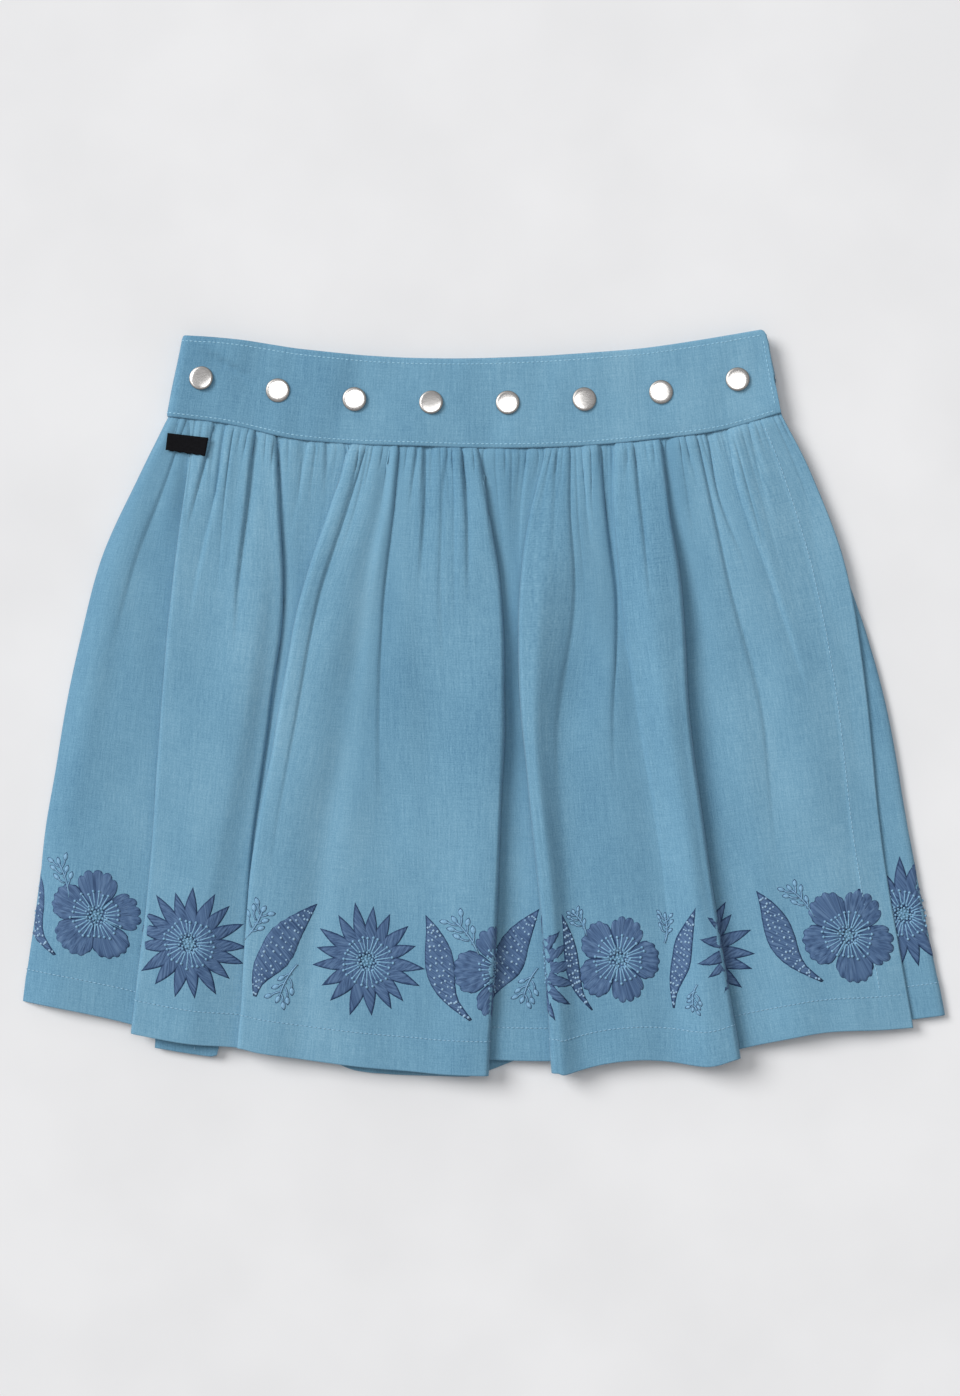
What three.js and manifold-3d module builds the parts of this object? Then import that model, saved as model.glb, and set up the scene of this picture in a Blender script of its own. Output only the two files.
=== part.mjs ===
// Denim wrap skirt, fastened and lying flat with its front up.
//
// Millimetres. +X runs to the right across the front, +Y from the hem to the waistband and +Z up
// out of the front. The skirt lies on the plane z = 0, and the origin is the middle of the
// rectangle that it covers.
//
// One long gathered panel is wound once and a half round the wearer, so it lies here in three
// stretches: the front flap on top, the under lap beneath it and the back on the ground. Each
// stretch is a wall of cloth whose section is a smooth curve through a short table of folds.
import * as THREE from 'three';
import * as BufferGeometryUtils from 'three/addons/utils/BufferGeometryUtils.js';
import Module from 'manifold-3d';

// ---- Driving dimensions ----

const CLOTH = 1.0; // wall of a panel: denim with its loft
const BAND_WALL = 2.0; // waistband: denim folded over a stiffening
const SEAM_GAP = 0.3; // between pieces that are sewn together

// Heights of the middle of each layer over the ground.
const BACK_Z = CLOTH / 2;
const UNDER_Z = 4.8;
const FRONT_Z = 8.5;
const BAND_BACK_Z = BAND_WALL / 2;
const BAND_UNDER_Z = 4.3;
const BAND_FRONT_Z = 9.9;

const TURN_UNDER = 25; // cloth of the front and the under lap that turns round the side fold
const FREE_END_INSET = 5; // from the left fold to the hidden end of the waistband
const BACK_TURN_INSET = 4; // from the waistband's free end to the turn beneath it
const BAND_CORNER = 4; // round corner of the waistband's free end

// Press studs: cap and socket on the front stretch, stud and post on the stretch beneath.
const SNAP_COUNT = 8;
const SNAP_PITCH = 0.1281; // share of the band's width from one stud to the next
const LAST_SNAP = 0.94; // share of the band's width at the stud by the free end
const CAP_RADIUS = 7.5;
const CAP_RIM = 0.8;
const CAP_DOME = 1.1;
const SHANK_RADIUS = 2.2;
const SOCKET_RADIUS = 5.5;
const SOCKET_HEIGHT = 2.1;
const CAVITY_RADIUS = 2.4;
const CAVITY_DEPTH = 1.5;
const KNOB_RADIUS = 2.1;
const STUD_DISC = 0.6;
const HOLE_RADIUS = SHANK_RADIUS + SEAM_GAP;
const ROUND_SEGMENTS = 20;

const LABEL = { left: -195.6, right: -170.4, top: 166.6, bottom: 154.4, tilt: -3.4, wall: 0.8 };

// ---- Outline of the flat skirt ----

// Stations down a panel, as shares of the way from the waist seam (0) to the hem (1), and the
// left and right outline there.
const STATIONS = [0, 0.1, 0.25, 0.45, 0.7, 1];
const OUTLINE_LEFT = [-197.2, -215.6, -240.5, -258.8, -274.4, -289];
const OUTLINE_RIGHT = [185.9, 204.6, 227.6, 249.4, 266.6, 289];

// Waistband top, waist seam and hem, at tenths of the width from left to right.
const TENTHS = [0, 0.1, 0.2, 0.3, 0.4, 0.5, 0.6, 0.7, 0.8, 0.9, 1];
const BAND_TOP_Y = [230.5, 227.5, 222, 218.2, 216.2, 216, 217.3, 219.5, 222.8, 228.2, 234.4];
const SEAM_Y = [179.4, 174.4, 165.6, 162.2, 160.9, 159.8, 159.8, 161.7, 165.4, 170.6, 181.6];
const HEM_Y = [-186.2, -196.2, -210, -219.4, -226.3, -228.8, -228.8, -224.4, -211.9, -202.5, -195];
const BAND_TOP_LEFT = -187.8;
const BAND_TOP_RIGHT = 176.2;

// ---- Folds ----

// A row is one line of the cloth from the waist seam to the hem.
//   at     place at the STATIONS, in thousandths of the skirt's width
//   rise   height over the layer's rest at the RISE_STATIONS
//   drop   how far the hem hangs below the outline there
// A row with "over" is a lap: the cloth doubles back under the piece on that side.
//   over   the side whose piece lies on top
//   depth  how far the cloth is folded in at the hem
//   floor  height of the lowest layer, and floorDrop its drop at the hem
const RISE_STATIONS = [0, 0.2, 0.6, 1];

const FRONT_FOLDS = [
  { name: 'left ridge', at: [7, 8, 22, 24, 30, 34], rise: [1.2, 2.6, 1.6, 0.6], drop: 0 },
  { name: 'left lie', at: [20, 38, 62, 66, 74, 76], rise: [1.4, 0.9, 0.2, 0], drop: 1 },
  { name: 'left lap', at: [43, 72, 102, 115, 125, 120], rise: [1.8, 4, 4.2, 4], drop: 7,
    over: 'right', depth: 19, floor: [1, 0, 0, 0], floorDrop: 2 },
  { name: 'left crest', at: [125, 140, 168, 181, 183, 180], rise: [1.8, 4.6, 4.6, 4], drop: 5 },
  { name: 'shoulder', at: [172, 200, 236, 230, 222, 214], rise: [1.8, 4.6, 4, 2.4], drop: 2 },
  { name: 'crevice', at: [190, 217, 251, 247, 238, 232], rise: [1, 0.4, 0, 0], drop: 1 },
  { name: 'deep lap', at: [301, 287, 272, 258, 240, 236], rise: [1.8, 7.2, 7.6, 5.4], drop: 1,
    over: 'right', depth: 40, floor: [1, 0, 0, 0], floorDrop: 0 },
  { name: 'slant groove', at: [323, 316, 296, 279, 262, 252], rise: [1, 5.6, 7, 5.6], drop: 2 },
  { name: 'slant crest', at: [345, 342, 324, 305, 283, 268], rise: [1.8, 7, 7, 5.8], drop: 2 },
  { name: 'soft trough', at: [362, 360, 352, 337, 319, 299], rise: [1.2, 4.6, 4.6, 4], drop: 2 },
  { name: 'low crest', at: [370, 370, 368, 360, 358, 350], rise: [1.6, 5.4, 5.2, 4.8], drop: 2 },
  { name: 'middle trough', at: [376, 377, 383, 381, 396, 397], rise: [0.8, 3.6, 4, 3.8], drop: 2 },
  { name: 'broad crest', at: [402, 402, 407, 420, 430, 430], rise: [1.8, 5.4, 5.4, 5], drop: 2 },
  { name: 'broad trough', at: [420, 424, 428, 438, 446, 446], rise: [1.2, 4.4, 4.8, 4.6], drop: 3 },
  { name: 'left wall', at: [462, 466, 470, 474, 478, 474], rise: [1.8, 6, 6.2, 5.8], drop: 3 },
  { name: 'centre lap', at: [504, 520, 537, 533, 523, 504], rise: [1.8, 6, 6.4, 6], drop: 3,
    over: 'left', depth: 20, floor: [1, 0, 0, 0], floorDrop: -7 },
  { name: 'valley', at: [545, 546, 549, 546, 547, 540], rise: [1.2, 0.8, 0.4, 0.2], drop: -6 },
  { name: 'edge lap', at: [623, 584, 562, 558, 572, 576], rise: [1.8, 7, 7.4, 6.4], drop: 1,
    over: 'right', depth: 31, floor: [1, 0, 0, 0], floorDrop: -6 },
  { name: 'narrow crest', at: [641, 617, 598, 573, 585, 585], rise: [2, 8.6, 8.6, 7.4], drop: 3 },
  { name: 'crest foot', at: [656, 644, 634, 594, 600, 603], rise: [1.2, 5.4, 5.2, 5], drop: 0 },
  { name: 'middle lie', at: [670, 660, 657, 630, 628, 634], rise: [1.4, 4, 4, 4], drop: -4 },
  { name: 'small crest', at: [699, 684, 678, 668, 678, 672], rise: [1.8, 4.6, 4.4, 4.4], drop: -5 },
  { name: 'ridge foot', at: [725, 705, 697, 697, 716, 711], rise: [0.8, 2.4, 2.6, 3], drop: 0 },
  { name: 'great ridge', at: [763, 747, 735, 733, 748, 744], rise: [2.2, 10.6, 11.4, 9.6], drop: 8 },
  { name: 'ridge lap', at: [802, 788, 777, 761, 768, 775], rise: [1.8, 7.6, 8.2, 8.2], drop: 6,
    over: 'left', depth: 17, floor: [1, 0.6, 0.4, 0.4], floorDrop: 1 },
  { name: 'right valley', at: [824, 807, 797, 781, 788, 815], rise: [1.2, 1.2, 0.8, 0.6], drop: 1 },
  { name: 'right crest', at: [848, 834, 820, 815, 830, 845], rise: [1.8, 4, 3.8, 3.2], drop: 0 },
  { name: 'right trough', at: [872, 866, 866, 862, 856, 872], rise: [1.2, 2.2, 2.2, 1.8], drop: 0 },
  { name: 'flap crest', at: [905, 890, 885, 890, 895, 905], rise: [1.8, 3.4, 3, 2.2], drop: 2 },
  { name: 'flap lie', at: [962, 952, 942, 932, 926, 926], rise: [1.4, 0.4, 0, -0.4], drop: 4 },
];
// Free edge of the front flap, which sinks onto the under lap beside it.
const FLAP_EDGE = { at: [1000, 1001, 997, 980, 968, 965], rise: [0.8, -2, -2.2, -2.2], drop: 5 };
// Height at which the front turns round the left fold.
const LEFT_FOLD_Z = [6.5, 4.5, 3.2, 2.8];

// The under lap runs from its free edge, near the left fold, to the right fold.
const UNDER_EDGE = { at: [40, 63, 104, 126, 139, 144], rise: [-0.4, 0, 0, 0], drop: 13 };
const UNDER_FOLDS = [
  { name: 'tuck', at: [88, 103, 138, 168, 197, 208], rise: [0, 1.2, 1.4, 0.8], drop: 10 },
  { name: 'tuck side', at: [90, 105, 140, 170, 199, 212], rise: [0, 1.2, 1.4, 0.8], drop: 10 },
  { name: 'tuck edge', at: [93, 108, 143, 173, 202, 215], rise: [-0.4, 0, 0, 0], drop: -4 },
  { name: 'tuck foot', at: [97, 112, 147, 177, 206, 219], rise: [-0.4, 0, 0, 0], drop: -4 },
  { name: 'inner crest', at: [250, 260, 290, 300, 310, 320], rise: [0, 1.8, 1.6, 1.4], drop: -4 },
  { name: 'inner trough', at: [380, 380, 380, 380, 385, 390], rise: [-0.4, 0, 0, 0], drop: -4 },
  { name: 'second crest', at: [460, 465, 470, 470, 465, 460], rise: [0, 1.8, 1.8, 1.4], drop: -5 },
  { name: 'second trough', at: [560, 555, 550, 550, 555, 560], rise: [-0.4, 0, 0, 0], drop: -11 },
  { name: 'third crest', at: [660, 650, 640, 640, 650, 660], rise: [0, 1.6, 1.6, 1.6], drop: -9 },
  { name: 'third trough', at: [760, 750, 745, 745, 750, 755], rise: [-0.4, 0, 0, 0], drop: -4 },
  { name: 'fourth crest', at: [850, 840, 830, 830, 835, 840], rise: [0, 1.2, 1.2, 1], drop: -2 },
  { name: 'right lie', at: [920, 910, 905, 905, 905, 905], rise: [-0.4, 0, 0, 0], drop: 0 },
];
// Place of the right fold, just inside the outline where the front flap covers it.
const RIGHT_FOLD_AT = [984, 990, 994, 1000, 1000, 1000];

// The back lies on the ground, and its folds are narrow and rise inwards. A fold takes up the
// cloth within BACK_FOLD_REACH of its line.
const BACK_FOLD_REACH = 7;
const BACK_FOLDS = [
  { name: 'back fold 1', at: [110, 118, 126, 132, 134, 136], rise: [0.4, 2.2, 1.8, 1.2], drop: -3 },
  { name: 'back fold 2', at: [200, 205, 214, 222, 230, 236], rise: [0.4, 2.6, 2.4, 1.6], drop: -3 },
  { name: 'back fold 3', at: [300, 300, 302, 304, 305, 300], rise: [0.4, 2.4, 1.4, 0.8], drop: -1 },
  { name: 'back fold 4', at: [395, 393, 390, 388, 384, 380], rise: [0.4, 2.6, 2.6, 2.2], drop: 6 },
  { name: 'back fold 5', at: [480, 481, 478, 474, 470, 466], rise: [0.4, 2.2, 1.6, 0.8], drop: 5.3 },
  { name: 'back fold 6', at: [565, 563, 560, 562, 566, 570], rise: [0.4, 2.6, 2.4, 1.8], drop: -9 },
  { name: 'back fold 7', at: [650, 652, 656, 662, 670, 676], rise: [0.4, 2.2, 1.4, 1], drop: -8 },
  { name: 'back fold 8', at: [750, 748, 746, 745, 745, 748], rise: [0.4, 2.6, 2.4, 2], drop: -5 },
  { name: 'back fold 9', at: [845, 842, 838, 836, 836, 838], rise: [0.4, 2.2, 1.8, 1], drop: -3 },
];

// Laps open from the waist seam, where the cloth is only gathered.
const LAP_AT_SEAM = -5; // depth of a lap at the seam: below zero the cloth is a soft step
const LAP_OPENING = 0.6; // power of the way down that the depth grows with
const LAYER_PITCH = 1.9; // between the layers inside a lap
const LAYER_PITCH_AT_SEAM = 0.5;
const LAYERS_OPEN = 0.06; // way down at which the layers have their full pitch
const TURN_RUN = 4; // flat run beside a turn
const TURN_REACH = 0.6; // how far the control points of a turn stand past it

const PANEL_ROWS = [0, 0.06, 0.14, 0.24, 0.35, 0.47, 0.6, 0.73, 0.87, 1];
const COLUMN_STEP = 14; // widest column of a panel half way down
const BAND_STEPS = 20; // along one stretch of the waistband
const BAND_TURN_STEPS = 5;

// ---- Curves ----

const lerp = (from, to, share) => from + (to - from) * share;
const clamp = (value, low, high) => Math.min(Math.max(value, low), high);

// Smooth curve through values at places, straight at its ends.
function curve(places, values, at) {
  const last = places.length - 1;
  const place = clamp(at, places[0], places[last]);
  const slope = (i) => {
    const before = Math.max(i - 1, 0);
    const after = Math.min(i + 1, last);
    return (values[after] - values[before]) / (places[after] - places[before]);
  };
  let i = 0;
  while (i < last - 1 && place > places[i + 1]) i += 1;
  const span = places[i + 1] - places[i];
  const t = (place - places[i]) / span;
  const start = (2 * t ** 3 - 3 * t ** 2 + 1) * values[i];
  const leave = (t ** 3 - 2 * t ** 2 + t) * span * slope(i);
  const end = (3 * t ** 2 - 2 * t ** 3) * values[i + 1];
  const arrive = (t ** 3 - t ** 2) * span * slope(i + 1);
  return start + leave + end + arrive;
}

const leftX = (down) => curve(STATIONS, OUTLINE_LEFT, down);
const rightX = (down) => curve(STATIONS, OUTLINE_RIGHT, down);
const riseAt = (rises, down) => curve(RISE_STATIONS, rises, down);

// x of a place given in thousandths of the width.
function acrossX(at, down) {
  return lerp(leftX(down), rightX(down), curve(STATIONS, at, down) / 1000);
}

// y of a point of a panel: between the waist seam and the hem.
function panelY(x, down, drop) {
  const share = clamp((x - leftX(down)) / (rightX(down) - leftX(down)), 0, 1);
  const seam = curve(TENTHS, SEAM_Y, share);
  const hem = curve(TENTHS, HEM_Y, share);
  return lerp(seam, hem, down) - drop * down ** 2;
}

// Point of a uniform cubic B-spline, at "place" counted in control points. The ends are held by
// control points mirrored through them.
function splinePoint(points, place) {
  const last = points.length - 1;
  const i = clamp(Math.floor(place), 0, last - 1);
  const t = place - i;
  const weights = [(1 - t) ** 3, 3 * t ** 3 - 6 * t ** 2 + 4,
    -3 * t ** 3 + 3 * t ** 2 + 3 * t + 1, t ** 3];
  const control = (k, key) => {
    if (k < 0) return 2 * points[0][key] - points[1][key];
    if (k > last) return 2 * points[last][key] - points[last - 1][key];
    return points[k][key];
  };
  const blend = (key) => weights.reduce((sum, w, k) => sum + w * control(i + k - 1, key), 0) / 6;
  return { x: blend('x'), z: blend('z'), drop: blend('drop') };
}

// Places to sample a section at: every control point, and between those that are far apart.
function samplePlaces(section) {
  const control = section(0.5);
  const places = [0];
  for (let i = 1; i < control.length; i += 1) {
    const span = Math.abs(control[i].x - control[i - 1].x);
    const parts = Math.max(Math.ceil(span / COLUMN_STEP), 1);
    for (let k = 1; k <= parts; k += 1) places.push(i - 1 + k / parts);
  }
  return places;
}

// ---- Sections of the panels, as control points { x, z, drop } from one edge to the other ----

function lapPoints(fold, down, rest) {
  const grown = down ** LAP_OPENING;
  const depth = lerp(LAP_AT_SEAM, fold.depth, grown);
  const pitch = lerp(LAYER_PITCH_AT_SEAM, LAYER_PITCH, Math.min(down / LAYERS_OPEN, 1));
  const edge = acrossX(fold.at, down);
  const low = rest + riseAt(fold.floor, down);
  const high = rest + riseAt(fold.rise, down);
  const folded = clamp((depth + 2) / 6, 0, 1);
  const run = TURN_RUN * folded;
  // From the lowest layer to the top one: share of the depth and of the run, and height.
  const steps = [
    { step: 1, in: 1, run: -1, z: low },
    { step: 1, in: 1, run: TURN_REACH / TURN_RUN, z: low },
    { step: 0.8, in: 1, run: TURN_REACH / TURN_RUN, z: low + pitch },
    { step: 0.6, in: 1, run: -1, z: low + pitch },
    { step: 0.4, in: 0, run: 1, z: low + pitch },
    { step: 0.2, in: 0, run: -TURN_REACH / TURN_RUN, z: low + pitch },
    { step: 0, in: 0, run: -TURN_REACH / TURN_RUN, z: high },
    { step: 0, in: 0, run: 1, z: high },
  ];
  const inward = fold.over === 'right' ? 1 : -1;
  const points = steps.map((point, i) => {
    const share = i / (steps.length - 1);
    const across = depth * lerp(point.step, point.in, folded) + run * point.run;
    return {
      x: edge + inward * across,
      z: lerp(lerp(low, high, share), point.z, folded),
      drop: lerp(fold.floorDrop, fold.drop, i < 4 ? 0 : 1),
    };
  });
  return fold.over === 'right' ? points : points.reverse();
}

function foldPoints(folds, down, rest) {
  return folds.flatMap((fold) => {
    if (fold.over) return lapPoints(fold, down, rest);
    return [{ x: acrossX(fold.at, down), z: rest + riseAt(fold.rise, down), drop: fold.drop }];
  });
}

function frontSection(down) {
  const left = leftX(down);
  const foldZ = riseAt(LEFT_FOLD_Z, down);
  return [
    { x: left + TURN_UNDER, z: BACK_Z, drop: -2 },
    { x: left + TURN_UNDER / 2, z: BACK_Z, drop: -1 },
    { x: left + 3, z: BACK_Z, drop: 0 },
    { x: left + 0.1, z: BACK_Z, drop: 0 },
    { x: left + 0.1, z: foldZ, drop: 0 },
    ...foldPoints(FRONT_FOLDS, down, FRONT_Z),
    ...foldPoints([FLAP_EDGE], down, FRONT_Z),
  ];
}

function underSection(down) {
  const right = acrossX(RIGHT_FOLD_AT, down);
  return [
    ...foldPoints([UNDER_EDGE, ...UNDER_FOLDS], down, UNDER_Z),
    { x: right - 8, z: UNDER_Z, drop: 0 },
    { x: right + 0.2, z: UNDER_Z, drop: 0 },
    { x: right + 0.2, z: BACK_Z, drop: 0 },
    { x: right - 4, z: BACK_Z, drop: 0 },
    { x: right - TURN_UNDER / 2, z: BACK_Z, drop: -1 },
    { x: right - TURN_UNDER, z: BACK_Z, drop: -2 },
  ];
}

function backSection(down) {
  const left = leftX(down) + TURN_UNDER + SEAM_GAP;
  const right = acrossX(RIGHT_FOLD_AT, down) - TURN_UNDER - SEAM_GAP;
  const folds = BACK_FOLDS.flatMap((fold) => {
    const x = acrossX(fold.at, down);
    const flat = { z: BACK_Z, drop: fold.drop };
    return [
      { x: x - BACK_FOLD_REACH * 2, ...flat },
      { x: x - BACK_FOLD_REACH, ...flat },
      { x, z: BACK_Z + riseAt(fold.rise, down), drop: fold.drop },
      { x: x + BACK_FOLD_REACH, ...flat },
      { x: x + BACK_FOLD_REACH * 2, ...flat },
    ];
  });
  return [{ x: left, z: BACK_Z, drop: -2 }, ...folds, { x: right, z: BACK_Z, drop: -2 }];
}

// ---- Solids from sections ----

// Moves each point of a section sideways by half the wall, square to the section.
function offsetSection(points, distance) {
  const direction = (a, b) => new THREE.Vector2(b.x - a.x, b.z - a.z).normalize();
  return points.map((point, i) => {
    const before = i > 0 ? direction(points[i - 1], point) : direction(point, points[1]);
    const after = i < points.length - 1 ? direction(point, points[i + 1]) : before;
    const middle = before.clone().add(after).normalize();
    const reach = distance / Math.max(middle.dot(before), 0.6);
    return { ...point, x: point.x - middle.y * reach, z: point.z + middle.x * reach };
  });
}

// Closed wall between two grids of points, outer[row][column] and inner[row][column].
function wallGeometry(outer, inner) {
  const rows = outer.length;
  const columns = outer[0].length;
  const positions = [];
  for (const grid of [outer, inner]) {
    for (const row of grid) {
      for (const point of row) positions.push(point.x, point.y, point.z);
    }
  }
  const at = (side, row, column) => side * rows * columns + row * columns + column;
  const index = [];
  const quad = (a, b, c, d) => index.push(a, b, c, a, c, d);
  for (let r = 0; r < rows - 1; r += 1) {
    for (let c = 0; c < columns - 1; c += 1) {
      quad(at(0, r, c), at(0, r + 1, c), at(0, r + 1, c + 1), at(0, r, c + 1));
      quad(at(1, r, c), at(1, r, c + 1), at(1, r + 1, c + 1), at(1, r + 1, c));
    }
  }
  for (let c = 0; c < columns - 1; c += 1) {
    quad(at(0, 0, c), at(0, 0, c + 1), at(1, 0, c + 1), at(1, 0, c));
    quad(at(0, rows - 1, c + 1), at(0, rows - 1, c), at(1, rows - 1, c), at(1, rows - 1, c + 1));
  }
  for (let r = 0; r < rows - 1; r += 1) {
    quad(at(0, r + 1, 0), at(0, r, 0), at(1, r, 0), at(1, r + 1, 0));
    quad(at(0, r, columns - 1), at(0, r + 1, columns - 1), at(1, r + 1, columns - 1),
      at(1, r, columns - 1));
  }
  const geometry = new THREE.BufferGeometry();
  geometry.setAttribute('position', new THREE.Float32BufferAttribute(positions, 3));
  geometry.setIndex(index);
  geometry.computeVertexNormals();
  return geometry;
}

// One row of a panel: the middle of the cloth, moved out or in by half the wall.
function panelRow(section, places, down, distance) {
  const control = section(down);
  const middle = places.map((place) => splinePoint(control, place));
  const moved = offsetSection(middle, distance);
  return moved.map(({ x, z, drop }, i) => ({ x, y: panelY(middle[i].x, down, drop), z }));
}

function panelGeometry(section) {
  const places = samplePlaces(section);
  const side = (distance) => PANEL_ROWS.map((down) => panelRow(section, places, down, distance));
  return wallGeometry(side(CLOTH / 2), side(-CLOTH / 2));
}

// ---- Waistband ----

// Point of the band: share of its width, and of the way from its lower edge (0) to the top (1).
function bandPoint(share, up) {
  const lower = curve(TENTHS, SEAM_Y, share) + SEAM_GAP;
  const upper = curve(TENTHS, BAND_TOP_Y, share);
  return {
    x: lerp(lerp(OUTLINE_LEFT[0], BAND_TOP_LEFT, up), lerp(OUTLINE_RIGHT[0], BAND_TOP_RIGHT, up), share),
    y: lerp(lower, upper, up),
  };
}

const BAND_WIDTH = OUTLINE_RIGHT[0] - OUTLINE_LEFT[0];

// The wound path of the band: the hidden end, the right turn, the back, the left turn and the
// front with its free end. "share" is the place across, "z" the height and "cut" how much the
// round corner takes off the top edge.
function bandPath() {
  const path = [];
  const stretch = (from, to, z) => {
    for (let i = 0; i <= BAND_STEPS; i += 1) {
      path.push({ share: lerp(from, to, i / BAND_STEPS), z, cut: 0 });
    }
  };
  const turn = (share, z1, z2, outward) => {
    const radius = Math.abs(z2 - z1) / 2;
    for (let i = 1; i < BAND_TURN_STEPS; i += 1) {
      const angle = (Math.PI * i) / BAND_TURN_STEPS;
      const out = (outward * radius * Math.sin(angle)) / BAND_WIDTH;
      path.push({ share: share + out, z: (z1 + z2) / 2 + ((z1 - z2) / 2) * Math.cos(angle), cut: 0 });
    }
  };
  const frontTurn = (BAND_FRONT_Z - BAND_BACK_Z) / 2 / BAND_WIDTH;
  const underTurn = (BAND_UNDER_Z - BAND_BACK_Z) / 2 / BAND_WIDTH;
  const hiddenEnd = FREE_END_INSET / BAND_WIDTH;
  const backRight = 1 - BACK_TURN_INSET / BAND_WIDTH - underTurn;
  const corner = BAND_CORNER / BAND_WIDTH;
  stretch(hiddenEnd, backRight, BAND_UNDER_Z);
  turn(backRight, BAND_UNDER_Z, BAND_BACK_Z, 1);
  stretch(backRight, frontTurn, BAND_BACK_Z);
  turn(frontTurn, BAND_BACK_Z, BAND_FRONT_Z, -1);
  stretch(frontTurn, 1 - corner, BAND_FRONT_Z);
  for (const angle of [0.4, 0.8, 1.2, Math.PI / 2]) {
    const share = 1 - corner * (1 - Math.sin(angle));
    path.push({ share, z: BAND_FRONT_Z, cut: BAND_CORNER * (1 - Math.cos(angle)) });
  }
  return path;
}

function bandGeometry() {
  const path = bandPath();
  const edge = (up, distance) => {
    const middle = path.map(({ share, z, cut }) => ({ ...bandPoint(share, up), z, cut }));
    return offsetSection(middle, distance).map(({ x, z }, i) => ({
      x,
      y: middle[i].y - middle[i].cut * up,
      z,
    }));
  };
  const side = (distance) => [edge(1, distance), edge(0, distance)];
  return wallGeometry(side(BAND_WALL / 2), side(-BAND_WALL / 2));
}

const snapShares = Array.from({ length: SNAP_COUNT }, (_, i) => {
  return LAST_SNAP - SNAP_PITCH * (SNAP_COUNT - 1 - i);
});

// ---- Press studs, turned about their axis ----

function latheUp(profile) {
  const points = profile.map(([radius, z]) => new THREE.Vector2(radius, z));
  return new THREE.LatheGeometry(points, ROUND_SEGMENTS).rotateX(Math.PI / 2);
}

// Cap over the front of the band, shank through its hole and socket beneath it.
function capGeometry() {
  const capZ = BAND_FRONT_Z + BAND_WALL / 2 + SEAM_GAP;
  const socketTop = BAND_FRONT_Z - BAND_WALL / 2 - SEAM_GAP;
  const socketBottom = socketTop - SOCKET_HEIGHT;
  return latheUp([
    [0, socketBottom + CAVITY_DEPTH],
    [CAVITY_RADIUS, socketBottom + CAVITY_DEPTH],
    [CAVITY_RADIUS, socketBottom],
    [SOCKET_RADIUS, socketBottom],
    [SOCKET_RADIUS, socketTop],
    [SHANK_RADIUS, socketTop],
    [SHANK_RADIUS, capZ],
    [CAP_RADIUS - 0.4, capZ],
    [CAP_RADIUS, capZ + CAP_RIM / 2],
    [CAP_RADIUS - 0.4, capZ + CAP_RIM],
    [CAP_RADIUS * 0.6, capZ + CAP_RIM + CAP_DOME * 0.7],
    [0, capZ + CAP_RIM + CAP_DOME],
  ]);
}

// Stud that snaps into the socket, with its post through the hidden stretch of the band.
function studGeometry() {
  const discZ = BAND_UNDER_Z + BAND_WALL / 2 + SEAM_GAP;
  const postZ = BAND_UNDER_Z - BAND_WALL / 2 - SEAM_GAP;
  return latheUp([
    [0, postZ - STUD_DISC],
    [SOCKET_RADIUS, postZ - STUD_DISC],
    [SOCKET_RADIUS, postZ],
    [SHANK_RADIUS, postZ],
    [SHANK_RADIUS, discZ],
    [SOCKET_RADIUS, discZ],
    [SOCKET_RADIUS, discZ + STUD_DISC],
    [KNOB_RADIUS - 0.3, discZ + STUD_DISC],
    [KNOB_RADIUS, discZ + STUD_DISC + CAVITY_DEPTH * 0.6],
    [KNOB_RADIUS - 0.4, discZ + STUD_DISC + CAVITY_DEPTH],
    [0, discZ + STUD_DISC + CAVITY_DEPTH],
  ]);
}

// ---- Label on the front, just under the waistband ----

// Height of the middle of the front's top layer at a share of the width.
function frontHeight(x, y) {
  const left = leftX(0);
  const seam = curve(TENTHS, SEAM_Y, (x - left) / BAND_WIDTH);
  const hem = curve(TENTHS, HEM_Y, (x - left) / BAND_WIDTH);
  const down = clamp((seam - y) / (seam - hem), 0, 1);
  const control = frontSection(down);
  const middle = control.map((_, i) => splinePoint(control, i));
  let height = 0;
  for (let i = 0; i < middle.length - 1; i += 1) {
    const [a, b] = [middle[i], middle[i + 1]];
    const share = (x - a.x) / (b.x - a.x);
    if (share >= 0 && share <= 1) height = Math.max(height, lerp(a.z, b.z, share));
  }
  return height;
}

function labelGeometry() {
  const columns = 6;
  const rows = 3;
  const lift = CLOTH / 2 + SEAM_GAP * 2;
  const side = (height) => Array.from({ length: rows + 1 }, (_, r) => (
    Array.from({ length: columns + 1 }, (_, c) => {
      const x = lerp(LABEL.left, LABEL.right, c / columns) + (LABEL.tilt / 8) * (r / rows);
      const y = lerp(LABEL.top, LABEL.bottom, r / rows) + LABEL.tilt * (c / columns);
      return { x, y, z: frontHeight(x, y) + lift + height };
    })
  ));
  return wallGeometry(side(LABEL.wall), side(0));
}

// ---- Cutting the band's holes ----

const wasm = await Module();
wasm.setup();

function toSolid(geometry) {
  const bare = geometry.clone();
  bare.deleteAttribute('normal');
  bare.deleteAttribute('uv');
  const merged = BufferGeometryUtils.mergeVertices(bare, 1e-4);
  return new wasm.Manifold(new wasm.Mesh({
    numProp: 3,
    vertProperties: merged.attributes.position.array,
    triVerts: new Uint32Array(merged.index.array),
  }));
}

function fromSolid(solid) {
  const mesh = solid.getMesh();
  const geometry = new THREE.BufferGeometry();
  geometry.setAttribute('position', new THREE.BufferAttribute(mesh.vertProperties, 3));
  geometry.setIndex(new THREE.BufferAttribute(mesh.triVerts, 1));
  geometry.computeVertexNormals();
  return geometry;
}

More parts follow.
